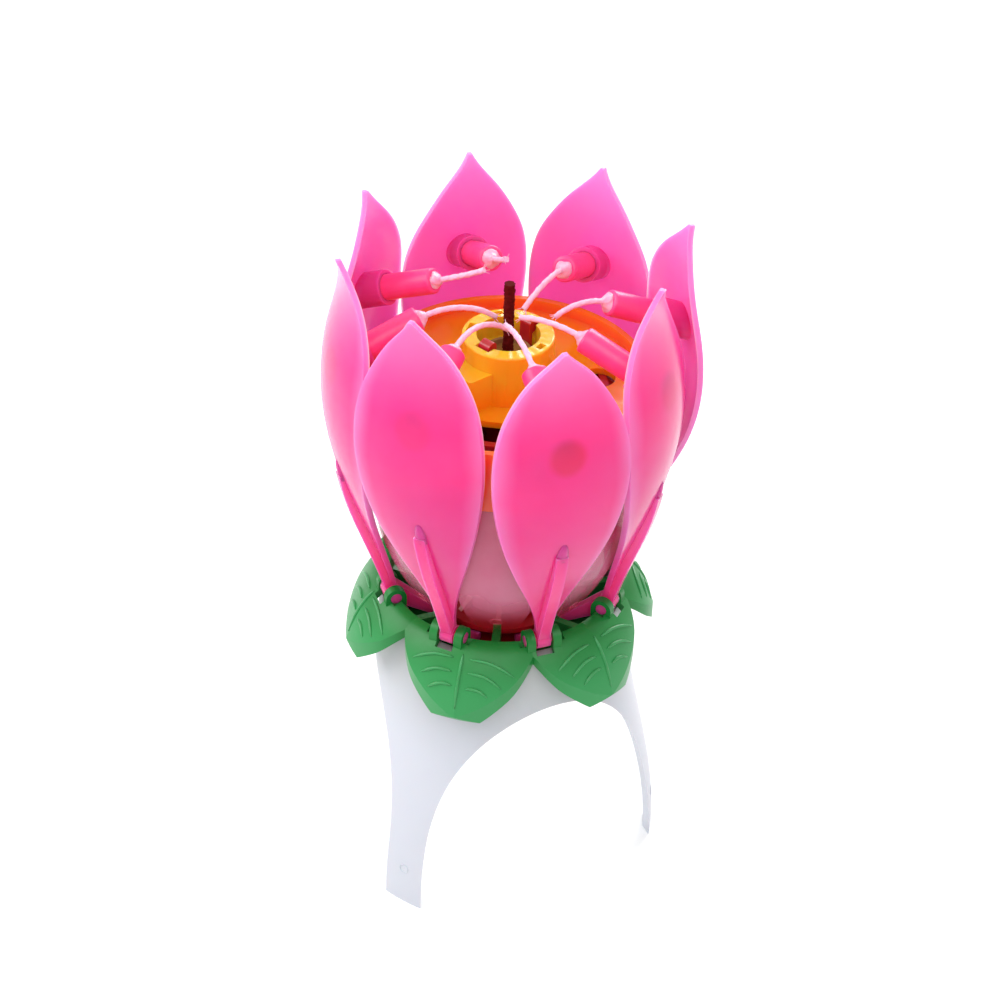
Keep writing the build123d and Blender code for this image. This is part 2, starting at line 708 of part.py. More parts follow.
# Fountain holder: a sleeve under the hub with two snap hooks that show in its notches
holder_bottom = deck_underside - holder_depth
holder_top = deck_underside + holder_rise
fountain_bottom = holder_bottom + holder_floor
hook_inner = fountain_radius + running_gap
hook_outer = math.sqrt(holder_radius ** 2 - (hook_width / 2) ** 2)
with BuildPart() as fountain_holder:
    with BuildSketch(Plane.XY.offset(holder_bottom)):
        Circle(holder_radius)
    extrude(amount=holder_top - holder_bottom)
    with BuildSketch(Plane.XY.offset(deck_underside - deck_floor)):
        Circle(holder_radius + holder_flange_width)
    extrude(amount=deck_floor)
    for angle in hook_turns:
        with BuildSketch(turned(angle)):
            with BuildLine():
                arm = Line((hook_inner, holder_top - deck_floor), (hook_inner, hub_top))
                crown = TangentArc(arm @ 1, (hook_inner + hook_head_radius, hub_top + hook_proud),
                                   tangent=arm % 1)
                lip = ThreePointArc(crown @ 1, (hook_inner + 1.8 * hook_head_radius, hub_top),
                                    (hook_inner + 1.6 * hook_head_radius, hub_top - hook_head_radius))
                Polyline(lip @ 1, (hook_outer, hub_top - 1.5 * hook_head_radius),
                         (hook_outer, holder_top - deck_floor), arm @ 0)
            make_face()
        extrude(amount=hook_width / 2, both=True)
    with BuildSketch(Plane.XY.offset(fountain_bottom)):
        Circle(fountain_radius + seat_gap)
    extrude(amount=hub_top - fountain_bottom + 2 * overrun, mode=Mode.SUBTRACT)
finish(fountain_holder, "fountain_holder")

with BuildPart() as fountain_tube:
    with BuildSketch(Plane.XY.offset(fountain_bottom)):
        Circle(fountain_radius)
        Circle(fountain_radius - fountain_wall, mode=Mode.SUBTRACT)
    extrude(amount=fountain_length)
finish(fountain_tube, "fountain_tube")

charge_top = fountain_bottom + fountain_length - charge_drop
with BuildPart() as fountain_charge:
    with BuildSketch(Plane.XY.offset(fountain_bottom)):
        Circle(fountain_radius - fountain_wall - seat_gap)
    extrude(amount=fountain_length - charge_drop)
    with BuildSketch(Plane.XY.offset(charge_top)):
        Circle(fuse_radius + seat_gap)
    extrude(amount=-fuse_depth, mode=Mode.SUBTRACT)
finish(fountain_charge, "fountain_charge")

with BuildPart() as fuse:
    with BuildSketch(Plane.XY.offset(charge_top - fuse_depth)):
        RegularPolygon(fuse_radius, 10)
    extrude(amount=hub_top + fuse_proud - charge_top + fuse_depth)
finish(fuse, "fuse")

# Motor, its pinion, the reduction gear and the gear's pin
motor_place = round_place(motor_turn, motor_distance)
with BuildPart() as motor:
    with BuildSketch(Plane.XY.offset(motor_bottom)):
        with Locations(motor_place):
            Circle(motor_radius)
    extrude(amount=motor_height)
    fillet(motor.edges().filter_by(GeomType.CIRCLE), motor_round)
    with BuildSketch(Plane.XY.offset(motor_bottom - motor_shelf_thickness)):
        with Locations(motor_place):
            Circle(motor_nose_radius)
    extrude(amount=motor_shelf_thickness + motor_round)
    with BuildSketch(Plane.XY.offset(motor_bottom - motor_shelf_thickness)):
        with Locations(motor_place):
            Circle(motor_shaft_radius + running_gap)
    extrude(amount=motor_shaft_depth + seat_gap, mode=Mode.SUBTRACT)
finish(motor, "motor")

# Angle of the pinion seen from the reduction gear
idler_centre = Vector(idler_distance, 0).rotate(Axis.Z, idler_turn)
motor_centre = Vector(motor_distance, 0).rotate(Axis.Z, motor_turn)
pinion_way = motor_centre - idler_centre
pinion_turn = math.degrees(math.atan2(pinion_way.Y, pinion_way.X))
pinion_bottom = large_gear_bottom - (pinion_face - large_face) / 2
shelf_bottom = motor_bottom - motor_shelf_thickness
with BuildPart() as motor_pinion:
    with BuildSketch(Plane(origin=motor_centre + Vector(0, 0, pinion_bottom))):
        with BuildLine():
            Polyline(*gear_points(pinion_teeth, pinion_turn + 180 + 180 / pinion_teeth), close=True)
        make_face()
    extrude(amount=pinion_face)
    with BuildSketch(Plane(origin=motor_centre + Vector(0, 0, pinion_bottom))):
        Circle(motor_shaft_radius)
    extrude(amount=shelf_bottom + motor_shaft_depth - pinion_bottom)
finish(motor_pinion, "motor_pinion")

small_gear_bottom = sun_bottom + sun_hub_height
with BuildPart() as reduction_gear:
    with BuildSketch(Plane(origin=idler_centre + Vector(0, 0, small_gear_bottom))):
        with BuildLine():
            Polyline(*gear_points(small_teeth, idler_turn + 180 + 180 / small_teeth), close=True)
        make_face()
    extrude(amount=sun_face)
    with BuildSketch(Plane(origin=idler_centre + Vector(0, 0, small_gear_bottom))):
        Circle(gear_hub_radius)
    extrude(amount=large_gear_bottom + large_face - small_gear_bottom)
    with BuildSketch(Plane(origin=idler_centre + Vector(0, 0, large_gear_bottom))):
        with BuildLine():
            Polyline(*gear_points(large_teeth, pinion_turn), close=True)
        make_face()
    extrude(amount=large_face)
    with BuildSketch(Plane(origin=idler_centre + Vector(0, 0, small_gear_bottom - overrun))):
        Circle(gear_bore_radius + running_gap)
    extrude(amount=large_gear_bottom + large_face - small_gear_bottom + 2 * overrun, mode=Mode.SUBTRACT)
finish(reduction_gear, "reduction_gear")

with BuildPart() as idler_pin:
    with BuildSketch(Plane(origin=idler_centre + Vector(0, 0, core_bottom))):
        Circle(gear_bore_radius)
    extrude(amount=large_gear_bottom + large_face + pin_end - core_bottom)
    with BuildSketch(Plane(origin=idler_centre + Vector(0, 0, large_gear_bottom + large_face + gear_floor_gap))):
        Circle(gear_hub_radius)
    extrude(amount=pin_end - gear_floor_gap)
finish(idler_pin, "idler_pin")

# Music board with its chip and sounder
with BuildPart() as circuit_board:
    with BuildSketch(Plane.XY.offset(board_bottom)):
        Circle(board_outer_radius)
        Circle(board_inner_radius, mode=Mode.SUBTRACT)
        with BuildLine():
            reach = 2 * board_outer_radius
            first = Vector(reach, 0).rotate(Axis.Z, board_turn - board_span / 2)
            middle = Vector(2 * reach, 0).rotate(Axis.Z, board_turn)
            last = Vector(reach, 0).rotate(Axis.Z, board_turn + board_span / 2)
            Polyline((0, 0), first, middle, last, close=True)
        make_face(mode=Mode.INTERSECT)
    extrude(amount=board_thickness)
finish(circuit_board, "circuit_board")

with BuildPart() as chip_cover:
    with BuildSketch(Plane.XY.offset(board_bottom + board_thickness)):
        with Locations(round_place(chip_turn, chip_circle)):
            Circle(chip_radius)
    extrude(amount=chip_height, taper=40)
finish(chip_cover, "chip_cover")

with BuildPart() as sounder:
    with BuildSketch(Plane.XY.offset(board_bottom)):
        with Locations(round_place(board_turn, sounder_circle)):
            Circle(sounder_radius)
    extrude(amount=-sounder_thickness)
finish(sounder, "sounder")

# Cells standing on one contact strip, with another on top
cell_place = round_place(cell_turn, cell_circle)
cells_bottom = core_floor_top + contact_thickness
with BuildPart() as button_cells:
    for cell in range(cell_count):
        with BuildSketch(Plane.XY.offset(cells_bottom + cell * cell_height)):
            with Locations(cell_place):
                Circle(cell_radius)
        extrude(amount=cell_height - cell_edge)
        with BuildSketch(Plane.XY.offset(cells_bottom + (cell + 1) * cell_height - cell_edge)):
            with Locations(cell_place):
                Circle(cell_radius - 2 * cell_edge)
        extrude(amount=cell_edge)
finish(button_cells, "button_cells")

cells_top = cells_bottom + cell_count * cell_height
with BuildPart() as cell_contacts:
    for height in (core_floor_top, cells_top):
        with BuildSketch(Plane.XY.offset(height)):
            with Locations(cell_place):
                Circle(contact_hub)
                Rectangle(core_radius - core_wall - cell_circle, contact_width, align=(Align.MIN, Align.CENTER))
            Circle(core_radius - core_wall, mode=Mode.INTERSECT)
        extrude(amount=contact_thickness)
finish(cell_contacts, "cell_contacts")

# Leaf switch under the core housing: two sprung strips that the risen plunger meets
flange_top_open = groove_top + flange_thickness + plunger_travel
switch_tip_height = flange_top_open + passing_gap
with BuildPart() as switch_blades:
    for step in range(2):
        lift = step * switch_gap
        with BuildSketch(turned(switch_turn)):
            with BuildLine():
                Polyline((switch_root_radius + lift, core_bottom),
                         (switch_root_radius + lift, core_bottom - switch_blade),
                         (switch_root_radius + lift - switch_foot, core_bottom - switch_blade),
                         (switch_tip_radius, switch_tip_height + lift),
                         (switch_tip_radius - switch_blade, switch_tip_height + lift),
                         (switch_root_radius + lift - switch_foot - switch_blade, core_bottom), close=True)
            make_face()
        extrude(amount=switch_width / 2, both=True)
finish(switch_blades, "switch_blades")

# Petal: a blade of a shell turned about an offset axis, cut to its outline
blade_swell = petal_reach - hinge_radius
petal_half_width = petal_reach * math.sin(math.pi / petal_count) - petal_side_gap
blade_side = side_points(blade_side_shares, hinge_radius, blade_swell, hinge_height, petal_rise)
blade_inside = shifted(blade_side, -blade_wall, 0)
rib_side = side_points(rib_side_shares, hinge_radius, blade_swell, hinge_height, petal_rise)
half_turn = math.degrees(math.asin(petal_half_width / (petal_reach - blade_curve_centre))) + blade_spare_turn
start = math.radians(-half_turn)
blade_axis = Axis((blade_curve_centre, 0, 0), (0, 0, 1))
blade_plane = Plane(origin=(blade_curve_centre, 0, 0), x_dir=(math.cos(start), math.sin(start), 0),
                    z_dir=(math.sin(start), -math.cos(start), 0))
with BuildPart() as blade:
    with BuildSketch(blade_plane):
        with BuildLine():
            outer = Spline(*shifted(blade_side, -blade_curve_centre, 0))
            inner = Spline(*shifted(blade_inside, -blade_curve_centre, 0))
            Line(outer @ 0, inner @ 0)
            Line(outer @ 1, inner @ 1)
        make_face()
    revolve(axis=blade_axis, revolution_arc=2 * half_turn)
    with BuildSketch(facing(0, 0, hinge_height)):
        with BuildLine():
            right = [(petal_half_width * w, petal_rise * h) for w, h in blade_width_shares]
            left = [(-x, y) for x, y in right]
            edge = Spline(*right)
            mirror_edge = Spline(*left)
            Line(edge @ 0, mirror_edge @ 0)
            Line(edge @ 1, mirror_edge @ 1)
        make_face()
    extrude(amount=petal_reach + 2 * overrun, mode=Mode.INTERSECT)

# Candle socket: a tilted cup, trimmed by the blade's outer face
tilt = math.radians(socket_tilt)
socket_way = Vector(-math.cos(tilt), 0, math.sin(tilt))
socket_start = Vector(petal_reach, 0, deck_top + socket_deck_room)
with BuildPart() as socket:
    with BuildSketch(Plane(origin=socket_start, x_dir=(0, 1, 0), z_dir=socket_way)):
        Circle(socket_radius)
    extrude(amount=socket_length + 2 * blade_wall)
    with BuildSketch(blade_plane):
        with BuildLine():
            outer = Spline(*shifted(blade_side, -blade_curve_centre, 0))
            Polyline(outer @ 0, (0, hinge_height), (0, hinge_height + petal_rise), outer @ 1)
        make_face()
    revolve(axis=blade_axis, revolution_arc=2 * half_turn, mode=Mode.INTERSECT)

candle_start = socket_start + socket_way * (2 * blade_wall + socket_floor)
candle_length = (candle_start.X - candle_circle) / math.cos(tilt)
hinge_spot = (hinge_radius, hinge_height)
nose_spot = (nose_start_radius, nose_height)
with BuildPart() as petal_shell:
    with BuildSketch(turned(0)):
        with BuildLine():
            crest = Spline(*rib_side)
            root = Spline(*shifted(blade_side[:3], -blade_wall / 2, 0))
            Line(crest @ 0, root @ 0)
            Line(crest @ 1, root @ 1)
        make_face()
    extrude(amount=rib_width / 2, both=True)
    add(blade.part)
    add(socket.part)
    with BuildSketch(Plane(origin=candle_start, x_dir=(0, 1, 0), z_dir=socket_way)):
        Circle(candle_radius + seat_gap)
    extrude(amount=candle_length, mode=Mode.SUBTRACT)

# Lever, with a nose that sits in the plunger's groove, and the hinge pins
with BuildPart() as lever:
    with BuildSketch(turned(0)):
        with Locations(hinge_spot):
            Circle(hinge_boss_radius)
        with Locations(nose_spot):
            Circle(nose_neck_radius)
        make_hull()
        with Locations(nose_spot):
            Circle(nose_radius)
    extrude(amount=lever_width / 2, both=True)
    with BuildSketch(turned(0)):
        with Locations(hinge_spot):
            Circle(hinge_pin_radius)
    extrude(amount=hinge_pin_length / 2, both=True)

# Candle, with a bore for its wick
candle_end = candle_start + socket_way * candle_length
with BuildPart() as candle:
    with BuildSketch(Plane(origin=candle_start, x_dir=(0, 1, 0), z_dir=socket_way)):
        Circle(candle_radius)
    extrude(amount=candle_length)
    fillet(candle.edges().filter_by(GeomType.CIRCLE).sort_by(Axis.X)[0], candle_round)
    with BuildSketch(Plane(origin=candle_end, x_dir=(0, 1, 0), z_dir=socket_way)):
        Circle(wick_radius + seat_gap)
    extrude(amount=-wick_depth, mode=Mode.SUBTRACT)


def set_over(piece, number):
    """A piece of one petal, set outward and leaned sideways about its hinge, and turned to its place."""
    hinge_middle = (hinge_radius, 0, hinge_height)
    piece = piece.rotate(Axis(hinge_middle, (0, 1, 0)), petal_set_angles[number - 1])
    piece = piece.rotate(Axis(hinge_middle, (1, 0, 0)), -petal_lean_angles[number - 1])
    return piece.rotate(Axis.Z, petal_angles[number - 1])


# Eight petals with their candles, and wicks that bend from the candles towards the fuse
for number in range(1, petal_count + 1):
    with BuildPart() as petal:
        add(lever.part.rotate(Axis.Z, petal_angles[number - 1]))
        add(set_over(petal_shell.part, number))
    finish(petal, f"petal_{number}")
    candle_set = set_over(candle.part, number)
    candle_set.label = f"candle_{number}"
    export_step(candle_set, f"parts/candle_{number}.step")
    wick_tip = Vector(wick_tip_radii[number - 1], wick_tip_sides[number - 1], hub_top + wick_tip_rises[number - 1])
    with BuildPart() as wick:
        with BuildLine():
            root = Line(candle_end - socket_way * (wick_depth - seat_gap), candle_end)
            TangentArc(root @ 1, wick_tip, tangent=socket_way)
        with BuildSketch(Plane(origin=root @ 0, z_dir=socket_way)):
            RegularPolygon(wick_radius, 8)
        sweep()
    wick_set = set_over(wick.part, number)
    wick_set.label = f"wick_{number}"
    export_step(wick_set, f"parts/wick_{number}.step")

print("hinge", round(hinge_radius, 3), round(hinge_height, 3), "travel", round(plunger_travel, 4))
print("idler", [round(v, 4) for v in idler_centre], "motor", [round(v, 4) for v in motor_centre])
print("heights: hub", round(hub_top, 3), "tip", round(hinge_height + petal_rise, 3))
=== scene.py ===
"""Looks of a musical flower candle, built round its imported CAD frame.

The CAD nodes keep their shapes and get their finishes here. Leaf veins, rib tips, waxed wicks with their
wax beads, the rough fuse and small moulding marks are pieces of this file, and ride on the CAD bodies.
"""

import json
import logging
import math
from collections.abc import Callable
from dataclasses import dataclass, field
from enum import Enum
from functools import cached_property
from typing import Any

import bpy
import numpy as np
from mathutils import Matrix, Vector, noise
from mathutils.bvhtree import BVHTree

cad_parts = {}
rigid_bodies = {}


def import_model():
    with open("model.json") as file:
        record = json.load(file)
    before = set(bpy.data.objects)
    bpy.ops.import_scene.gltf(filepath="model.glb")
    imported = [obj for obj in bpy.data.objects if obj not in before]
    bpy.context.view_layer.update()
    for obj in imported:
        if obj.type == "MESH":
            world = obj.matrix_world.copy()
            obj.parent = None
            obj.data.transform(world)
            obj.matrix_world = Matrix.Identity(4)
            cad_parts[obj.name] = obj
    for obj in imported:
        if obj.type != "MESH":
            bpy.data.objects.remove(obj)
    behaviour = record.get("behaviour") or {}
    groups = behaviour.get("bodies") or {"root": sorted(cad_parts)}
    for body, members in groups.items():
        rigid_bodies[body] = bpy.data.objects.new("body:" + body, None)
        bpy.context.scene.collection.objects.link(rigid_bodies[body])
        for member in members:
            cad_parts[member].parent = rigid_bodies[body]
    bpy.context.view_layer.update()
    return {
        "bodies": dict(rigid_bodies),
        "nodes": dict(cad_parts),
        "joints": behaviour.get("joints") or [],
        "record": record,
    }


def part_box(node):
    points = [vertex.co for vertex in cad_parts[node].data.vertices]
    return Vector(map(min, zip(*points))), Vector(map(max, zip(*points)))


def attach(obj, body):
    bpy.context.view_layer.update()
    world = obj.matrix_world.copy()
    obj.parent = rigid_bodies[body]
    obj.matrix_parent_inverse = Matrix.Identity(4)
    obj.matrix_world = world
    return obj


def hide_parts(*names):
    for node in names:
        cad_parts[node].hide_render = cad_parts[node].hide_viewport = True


LOG = logging.getLogger("flower_candle")
MM = 0.001
PETALS = 8
UP = Vector((0, 0, 1))

Output = bpy.types.NodeSocket
Value = Output | float
Rgba = tuple[float, float, float, float]
Colour = Output | Rgba
FULL_WHITE: Rgba = (1, 1, 1, 1)


class Tone(Enum):
    """Colours of the object, as they look on a screen."""

    PETAL = (255, 34, 136)
    # Painted light: the petals' inner face is a lighter copy of their pink, as if lit through the plastic.
    PETAL_INSIDE_GLOW = (255, 122, 196)
    # Painted light: the lilac glow at the petals' edges and tip.
    PETAL_GLOW = (255, 140, 204)
    SOCKET = (255, 60, 142)
    # Painted shade at the petals' feet.
    PETAL_FOOT_SHADE = (242, 46, 126)
    PETAL_SPOT = (230, 20, 92)
    CANDLE = (255, 56, 132)
    CANDLE_PALE = (255, 84, 152)
    WICK = (255, 212, 230)
    WICK_SHADE = (250, 172, 206)
    BEAD = (255, 138, 182)
    FUSE = (64, 5, 6)
    FUSE_LIGHT = (104, 20, 18)
    LEAF = (30, 134, 60)
    # Painted light at the leaves' rim.
    LEAF_RIM_LIT = (72, 172, 106)
    LEAF_DARK = (12, 108, 34)
    VEIN = (60, 158, 90)
    VEIN_DARK = (36, 138, 68)
    WHITE = (211, 214, 223)
    WHITE_SHADE = (202, 205, 216)
    # Painted shade on the stand, under the leaves.
    WHITE_PAINTED_SHADE = (184, 187, 187)
    DECK_HUB = (242, 198, 44)
    DECK_MIDDLE = (252, 168, 22)
    DECK_TRAY = (252, 126, 22)
    DECK_RIM = (246, 88, 54)
    RED = (196, 26, 40)
    RED_DARK = (150, 14, 22)
    CLEAR = (255, 166, 200)
    CLEAR_HAZE = (255, 124, 170)
    CLEAR_LOW = (226, 44, 66)
    PAPER = (176, 132, 88)
    PAPER_DARK = (140, 98, 60)
    POWDER = (168, 118, 52)
    POWDER_DARK = (126, 80, 30)
    STEEL = (214, 215, 218)
    STEEL_DARK = (176, 178, 182)
    BRONZE = (214, 160, 96)
    BRONZE_DARK = (178, 124, 66)
    BRASS = (218, 178, 92)
    BRASS_DARK = (186, 144, 62)
    ACETAL = (236, 234, 224)
    ACETAL_SHADE = (222, 218, 204)
    LAMINATE = (160, 104, 48)
    LAMINATE_DARK = (128, 78, 32)
    RESIN = (16, 16, 17)
    RESIN_LIGHT = (34, 33, 34)

    @property
    def colour(self) -> Rgba:
        """The tone as the linear colour that a shader takes.

        Returns:
            Red, green and blue by the screen's standard curve, and a full alpha.
        """
        shares = (value / 255 for value in self.value)
        linear = [v / 12.92 if v <= 0.04045 else ((v + 0.055) / 1.055) ** 2.4 for v in shares]
        return (*linear, 1.0)


class Body(str, Enum):
    """CAD bodies that pieces of this file ride on, apart from the numbered petals."""

    STAND = "stand"
    FLOWER = "flower_head"


class Slot(str, Enum):
    """The record's material slots, apart from the deck's."""

    WHITE_PLASTIC = "white_plastic"
    GREEN_PLASTIC = "green_plastic"
    CLEAR_PLASTIC = "clear_plastic"
    PINK_PLASTIC = "pink_plastic"
    RED_PLASTIC = "red_plastic"
    PINK_WAX = "pink_wax"
    WHITE_WICK = "white_wick"
    DARK_FUSE = "dark_fuse"
    BROWN_PAPER = "brown_paper"
    PALE_POWDER = "pale_powder"
    BRIGHT_STEEL = "bright_steel"
    SPRING_STEEL = "spring_steel"
    CELL_STEEL = "cell_steel"
    SPRING_BRONZE = "spring_bronze"
    SOUNDER_BRASS = "sounder_brass"
    WHITE_ACETAL = "white_acetal"
    BOARD_LAMINATE = "board_laminate"
    BLACK_RESIN = "black_resin"


class Trim(str, Enum):
    """Finishes that only pieces of this file have."""

    VEIN = "vein"
    BEAD = "bead"


class Shading:
    """A material's nodes, put together step by step round its main shader."""

    MIX_FIRST = 6
    MIX_SECOND = 7
    MIX_COLOUR = 2

    def __init__(self, name: str) -> None:
        """Starts a material with its main shader.

        Args:
            name: The material's name.
        """
        self.material = bpy.data.materials.new(name)
        self.material.use_nodes = True
        self.tree = self.material.node_tree
        self.shader = self.tree.nodes["Principled BSDF"]

    def add(self, kind: str, **settings: object) -> bpy.types.Node:
        """Adds a node.

        Args:
            kind: The node's type name.
            settings: Properties to set on it.

        Returns:
            The new node.
        """
        node = self.tree.nodes.new(kind)
        for name, value in settings.items():
            setattr(node, name, value)
        return node

    def feed(self, socket: bpy.types.NodeSocket, value: object) -> None:
        """Links an output to a socket, or sets the socket to a plain value.

        Args:
            socket: The socket to feed.
            value: An output, or a number, colour or direction.
        """
        if isinstance(value, Output):
            self.tree.links.new(value, socket)
        else:
            socket.default_value = value

    def set(self, **values: object) -> None:
        """Feeds sockets of the main shader.

        Args:
            values: What each socket gets, by its name with underscores for spaces.
        """
        for name, value in values.items():
            self.feed(self.shader.inputs[name.replace("_", " ")], value)

    def place(self) -> Output:
        """The surface's place in the row frame at rest."""
        return self.add("ShaderNodeTexCoord").outputs["Object"]

    def moved(self, turn: Matrix, centre: Vector) -> Output:
        """The surface's place in turned axes.

        Args:
            turn: Rows are the new axes.
            centre: Where the new axes start.

        Returns:
            The place as an output.
        """
        node = self.add("ShaderNodeMapping", vector_type="POINT")
        self.feed(node.inputs["Vector"], self.place())
        node.inputs["Rotation"].default_value = turn.to_euler("XYZ")
        node.inputs["Location"].default_value = -(turn @ centre)
        return node.outputs["Vector"]

    def split(self, place: Output) -> tuple[Output, ...]:
        """Takes a place apart.

        Args:
            place: The place as an output.

        Returns:
            Its x, y and z as outputs.
        """
        node = self.add("ShaderNodeSeparateXYZ")
        self.feed(node.inputs[0], place)
        return tuple(node.outputs)

    def math(self, operation: str, first: Value, second: Value = 0.0) -> Output:
        """Works out a sum, a product or the like.

        Args:
            operation: The operation's name.
            first: The value it starts from.
            second: The value that it adds, multiplies by and so on.

        Returns:
            The result as an output.
        """
        node = self.add("ShaderNodeMath", operation=operation)
        self.feed(node.inputs[0], first)
        self.feed(node.inputs[1], second)
        return node.outputs[0]

    def product(self, first: Value, *others: Value) -> Output:
        """Multiplies values.

        Args:
            first: The first value.
            others: What it is multiplied by, in order.

        Returns:
            The product as an output.
        """
        for other in others:
            first = self.math("MULTIPLY", first, other)
        return first

    def reach(self, across: Output, along: Output) -> Output:
        """The length of a way that goes so far across and so far along.

        Args:
            across: How far it goes one way.
            along: How far it goes the other way.

        Returns:
            The length as an output.
        """
        squares = self.math("ADD", self.product(across, across), self.product(along, along))
        return self.math("SQRT", squares)

    def facing(self, way: Vector) -> Output:
        """How far the surface faces a direction.

        Args:
            way: The direction.

        Returns:
            1 towards it and -1 away from it, as an output.
        """
        node = self.add("ShaderNodeVectorMath", operation="DOT_PRODUCT")
        self.feed(node.inputs[0], self.add("ShaderNodeTexCoord").outputs["Normal"])
        node.inputs[1].default_value = way
        return node.outputs["Value"]

    def step(self, value: Value, start: float, end: float, top: float = 1.0) -> Output:
        """A soft step, which may run upwards or downwards.

        Args:
            value: The value that it is read at.
            start: Where the step is still 0.
            end: Where it has reached its top.
            top: The step's height.

        Returns:
            The step as an output.
        """
        node = self.add("ShaderNodeMapRange", interpolation_type="SMOOTHSTEP")
        self.feed(node.inputs["Value"], value)
        node.inputs["From Min"].default_value = start
        node.inputs["From Max"].default_value = end
        node.inputs["To Max"].default_value = top
        return node.outputs["Result"]

    def span(self, value: Value, low: float, high: float) -> Output:
        """Spreads a value of 0 to 1.

        Args:
            value: The value.
            low: What 0 becomes.
            high: What 1 becomes.

        Returns:
            The spread value as an output.
        """
        node = self.add("ShaderNodeMapRange")
        self.feed(node.inputs["Value"], value)
        node.inputs["To Min"].default_value = low
        node.inputs["To Max"].default_value = high
        return node.outputs["Result"]

    def noise(self, size: float, detail: float = 3.0, place: Output | None = None) -> Output:
        """Cloudy variation of 0 to 1.

        Args:
            size: Size of its patches in metres.
            detail: How much finer noise is added.
            place: Where it is read, the place at rest if left out.

        Returns:
            The variation as an output.
        """
        node = self.add("ShaderNodeTexNoise")
        self.feed(node.inputs["Vector"], place or self.place())
        node.inputs["Scale"].default_value = 1 / size
        node.inputs["Detail"].default_value = detail
        return node.outputs["Fac"]

    def blend(self, share: Value, first: Colour, second: Colour) -> Output:
        """A colour between two.

        Args:
            share: How much of the second there is, 0 to 1.
            first: The first colour.
            second: The second colour.

        Returns:
            The colour as an output.
        """
        node = self.add("ShaderNodeMix", data_type="RGBA")
        self.feed(node.inputs[0], share)
        self.feed(node.inputs[self.MIX_FIRST], first)
        self.feed(node.inputs[self.MIX_SECOND], second)
        return node.outputs[self.MIX_COLOUR]

    def ramp(self, value: Value, stops: tuple[tuple[float, float], ...]) -> Output:
        """Looks a value up along stops.

        Args:
            value: The value.
            stops: Place and level of each stop.

        Returns:
            The level as an output.
        """
        node = self.add("ShaderNodeValToRGB")
        self.feed(node.inputs["Fac"], value)
        bands = node.color_ramp.elements
        while len(bands) < len(stops):
            bands.new(position=0.5)
        for band, (position, level) in zip(bands, stops):
            band.position = position
            band.color = (level, level, level, 1)
        return node.outputs["Color"]

    def bump(self, height: Value, depth: float) -> None:
        """Gives the surface a relief.

        Args:
            height: The relief's height.
            depth: How deep a height of 1 is, in metres.
        """
        node = self.add("ShaderNodeBump")
        self.feed(node.inputs["Height"], height)
        node.inputs["Distance"].default_value = depth
        self.feed(self.shader.inputs["Normal"], node.outputs["Normal"])


@dataclass(frozen=True)
class Finish:
    """A moulded, wax or paper finish: a tone that drifts to a second, and a fine grain in its gloss.

    Here and in the finishes below, patches, grains, reliefs and how far light scatters are in metres.
    """

    name: str
    tone: Tone
    drift: Tone
    roughness: float = 0.38
    smoother: float = 0.06
    rougher: float = 0.08
    patch: float = 0.009
    grain: float = 0.0006
    relief: float = 0.000012
    depth: float = 0.0
    scatter: float = MM
    coat: float = 0.0
    shine: float = 0.5

    def material(self) -> bpy.types.Material:
        """Makes the finish's material.

        Returns:
            The material.
        """
        shading = Shading(self.name)
        drift = shading.noise(self.patch)
        fine = shading.noise(self.grain, detail=2.0)
        shading.set(
            Base_Color=shading.blend(drift, self.tone.colour, self.drift.colour),
            Roughness=shading.span(fine, self.roughness - self.smoother, self.roughness + self.rougher),
            Coat_Weight=self.coat,
            Specular_IOR_Level=self.shine,
        )
        if self.depth:
            shading.set(Subsurface_Weight=self.depth, Subsurface_Scale=self.scatter)
        shading.bump(fine, self.relief)
        return shading.material


@dataclass(frozen=True)
class BrushedFinish:
    """Metal that was drawn or turned, with fine lines round the upright axis."""

    name: str
    tone: Tone
    drift: Tone
    roughness: float = 0.3
    smoother: float = 0.1
    rougher: float = 0.14
    line: float = 0.00022
    stretch: float = 0.04
    relief: float = 0.004 * MM

    def material(self) -> bpy.types.Material:
        """Makes the finish's material.

        Returns:
            The material.
        """
        shading = Shading(self.name)
        node = shading.add("ShaderNodeMapping")
        shading.feed(node.inputs["Vector"], shading.place())
        node.inputs["Scale"].default_value = (self.stretch, self.stretch, 1)
        lines = shading.noise(self.line, place=node.outputs["Vector"])
        shading.set(
            Base_Color=shading.blend(lines, self.tone.colour, self.drift.colour),
            Roughness=shading.span(lines, self.roughness - self.smoother, self.roughness + self.rougher),
            Metallic=1.0,
        )
        shading.bump(lines, self.relief)
        return shading.material


@dataclass(frozen=True)
class StandFinish:
    """White moulded bell, with painted shade: greyer from a low height up to a high one, under the leaves
    above it.
    """

    low: float
    high: float
    name: str = "stand_white"
    patch: float = 0.02
    grain: float = 0.0008
    gloss: tuple[float, float] = (0.28, 0.4)
    depth: float = 0.1
    scatter: float = MM
    relief: float = 0.005 * MM

    def material(self) -> bpy.types.Material:
        """Makes the finish's material.

        Returns:
            The material.
        """
        shading = Shading(self.name)
        base = shading.blend(shading.noise(self.patch), Tone.WHITE.colour, Tone.WHITE_SHADE.colour)
        height = shading.split(shading.place())[2]
        shaded = shading.step(height, self.low, self.high)
        fine = shading.noise(self.grain, detail=2.0)
        shading.set(
            # Painted shade: greyer towards the top of the bell, under the leaves.
            Base_Color=shading.blend(shaded, base, Tone.WHITE_PAINTED_SHADE.colour),
            Roughness=shading.span(fine, *self.gloss),
            Subsurface_Weight=self.depth,
            Subsurface_Scale=self.scatter,
        )
        shading.bump(fine, self.relief)
        return shading.material


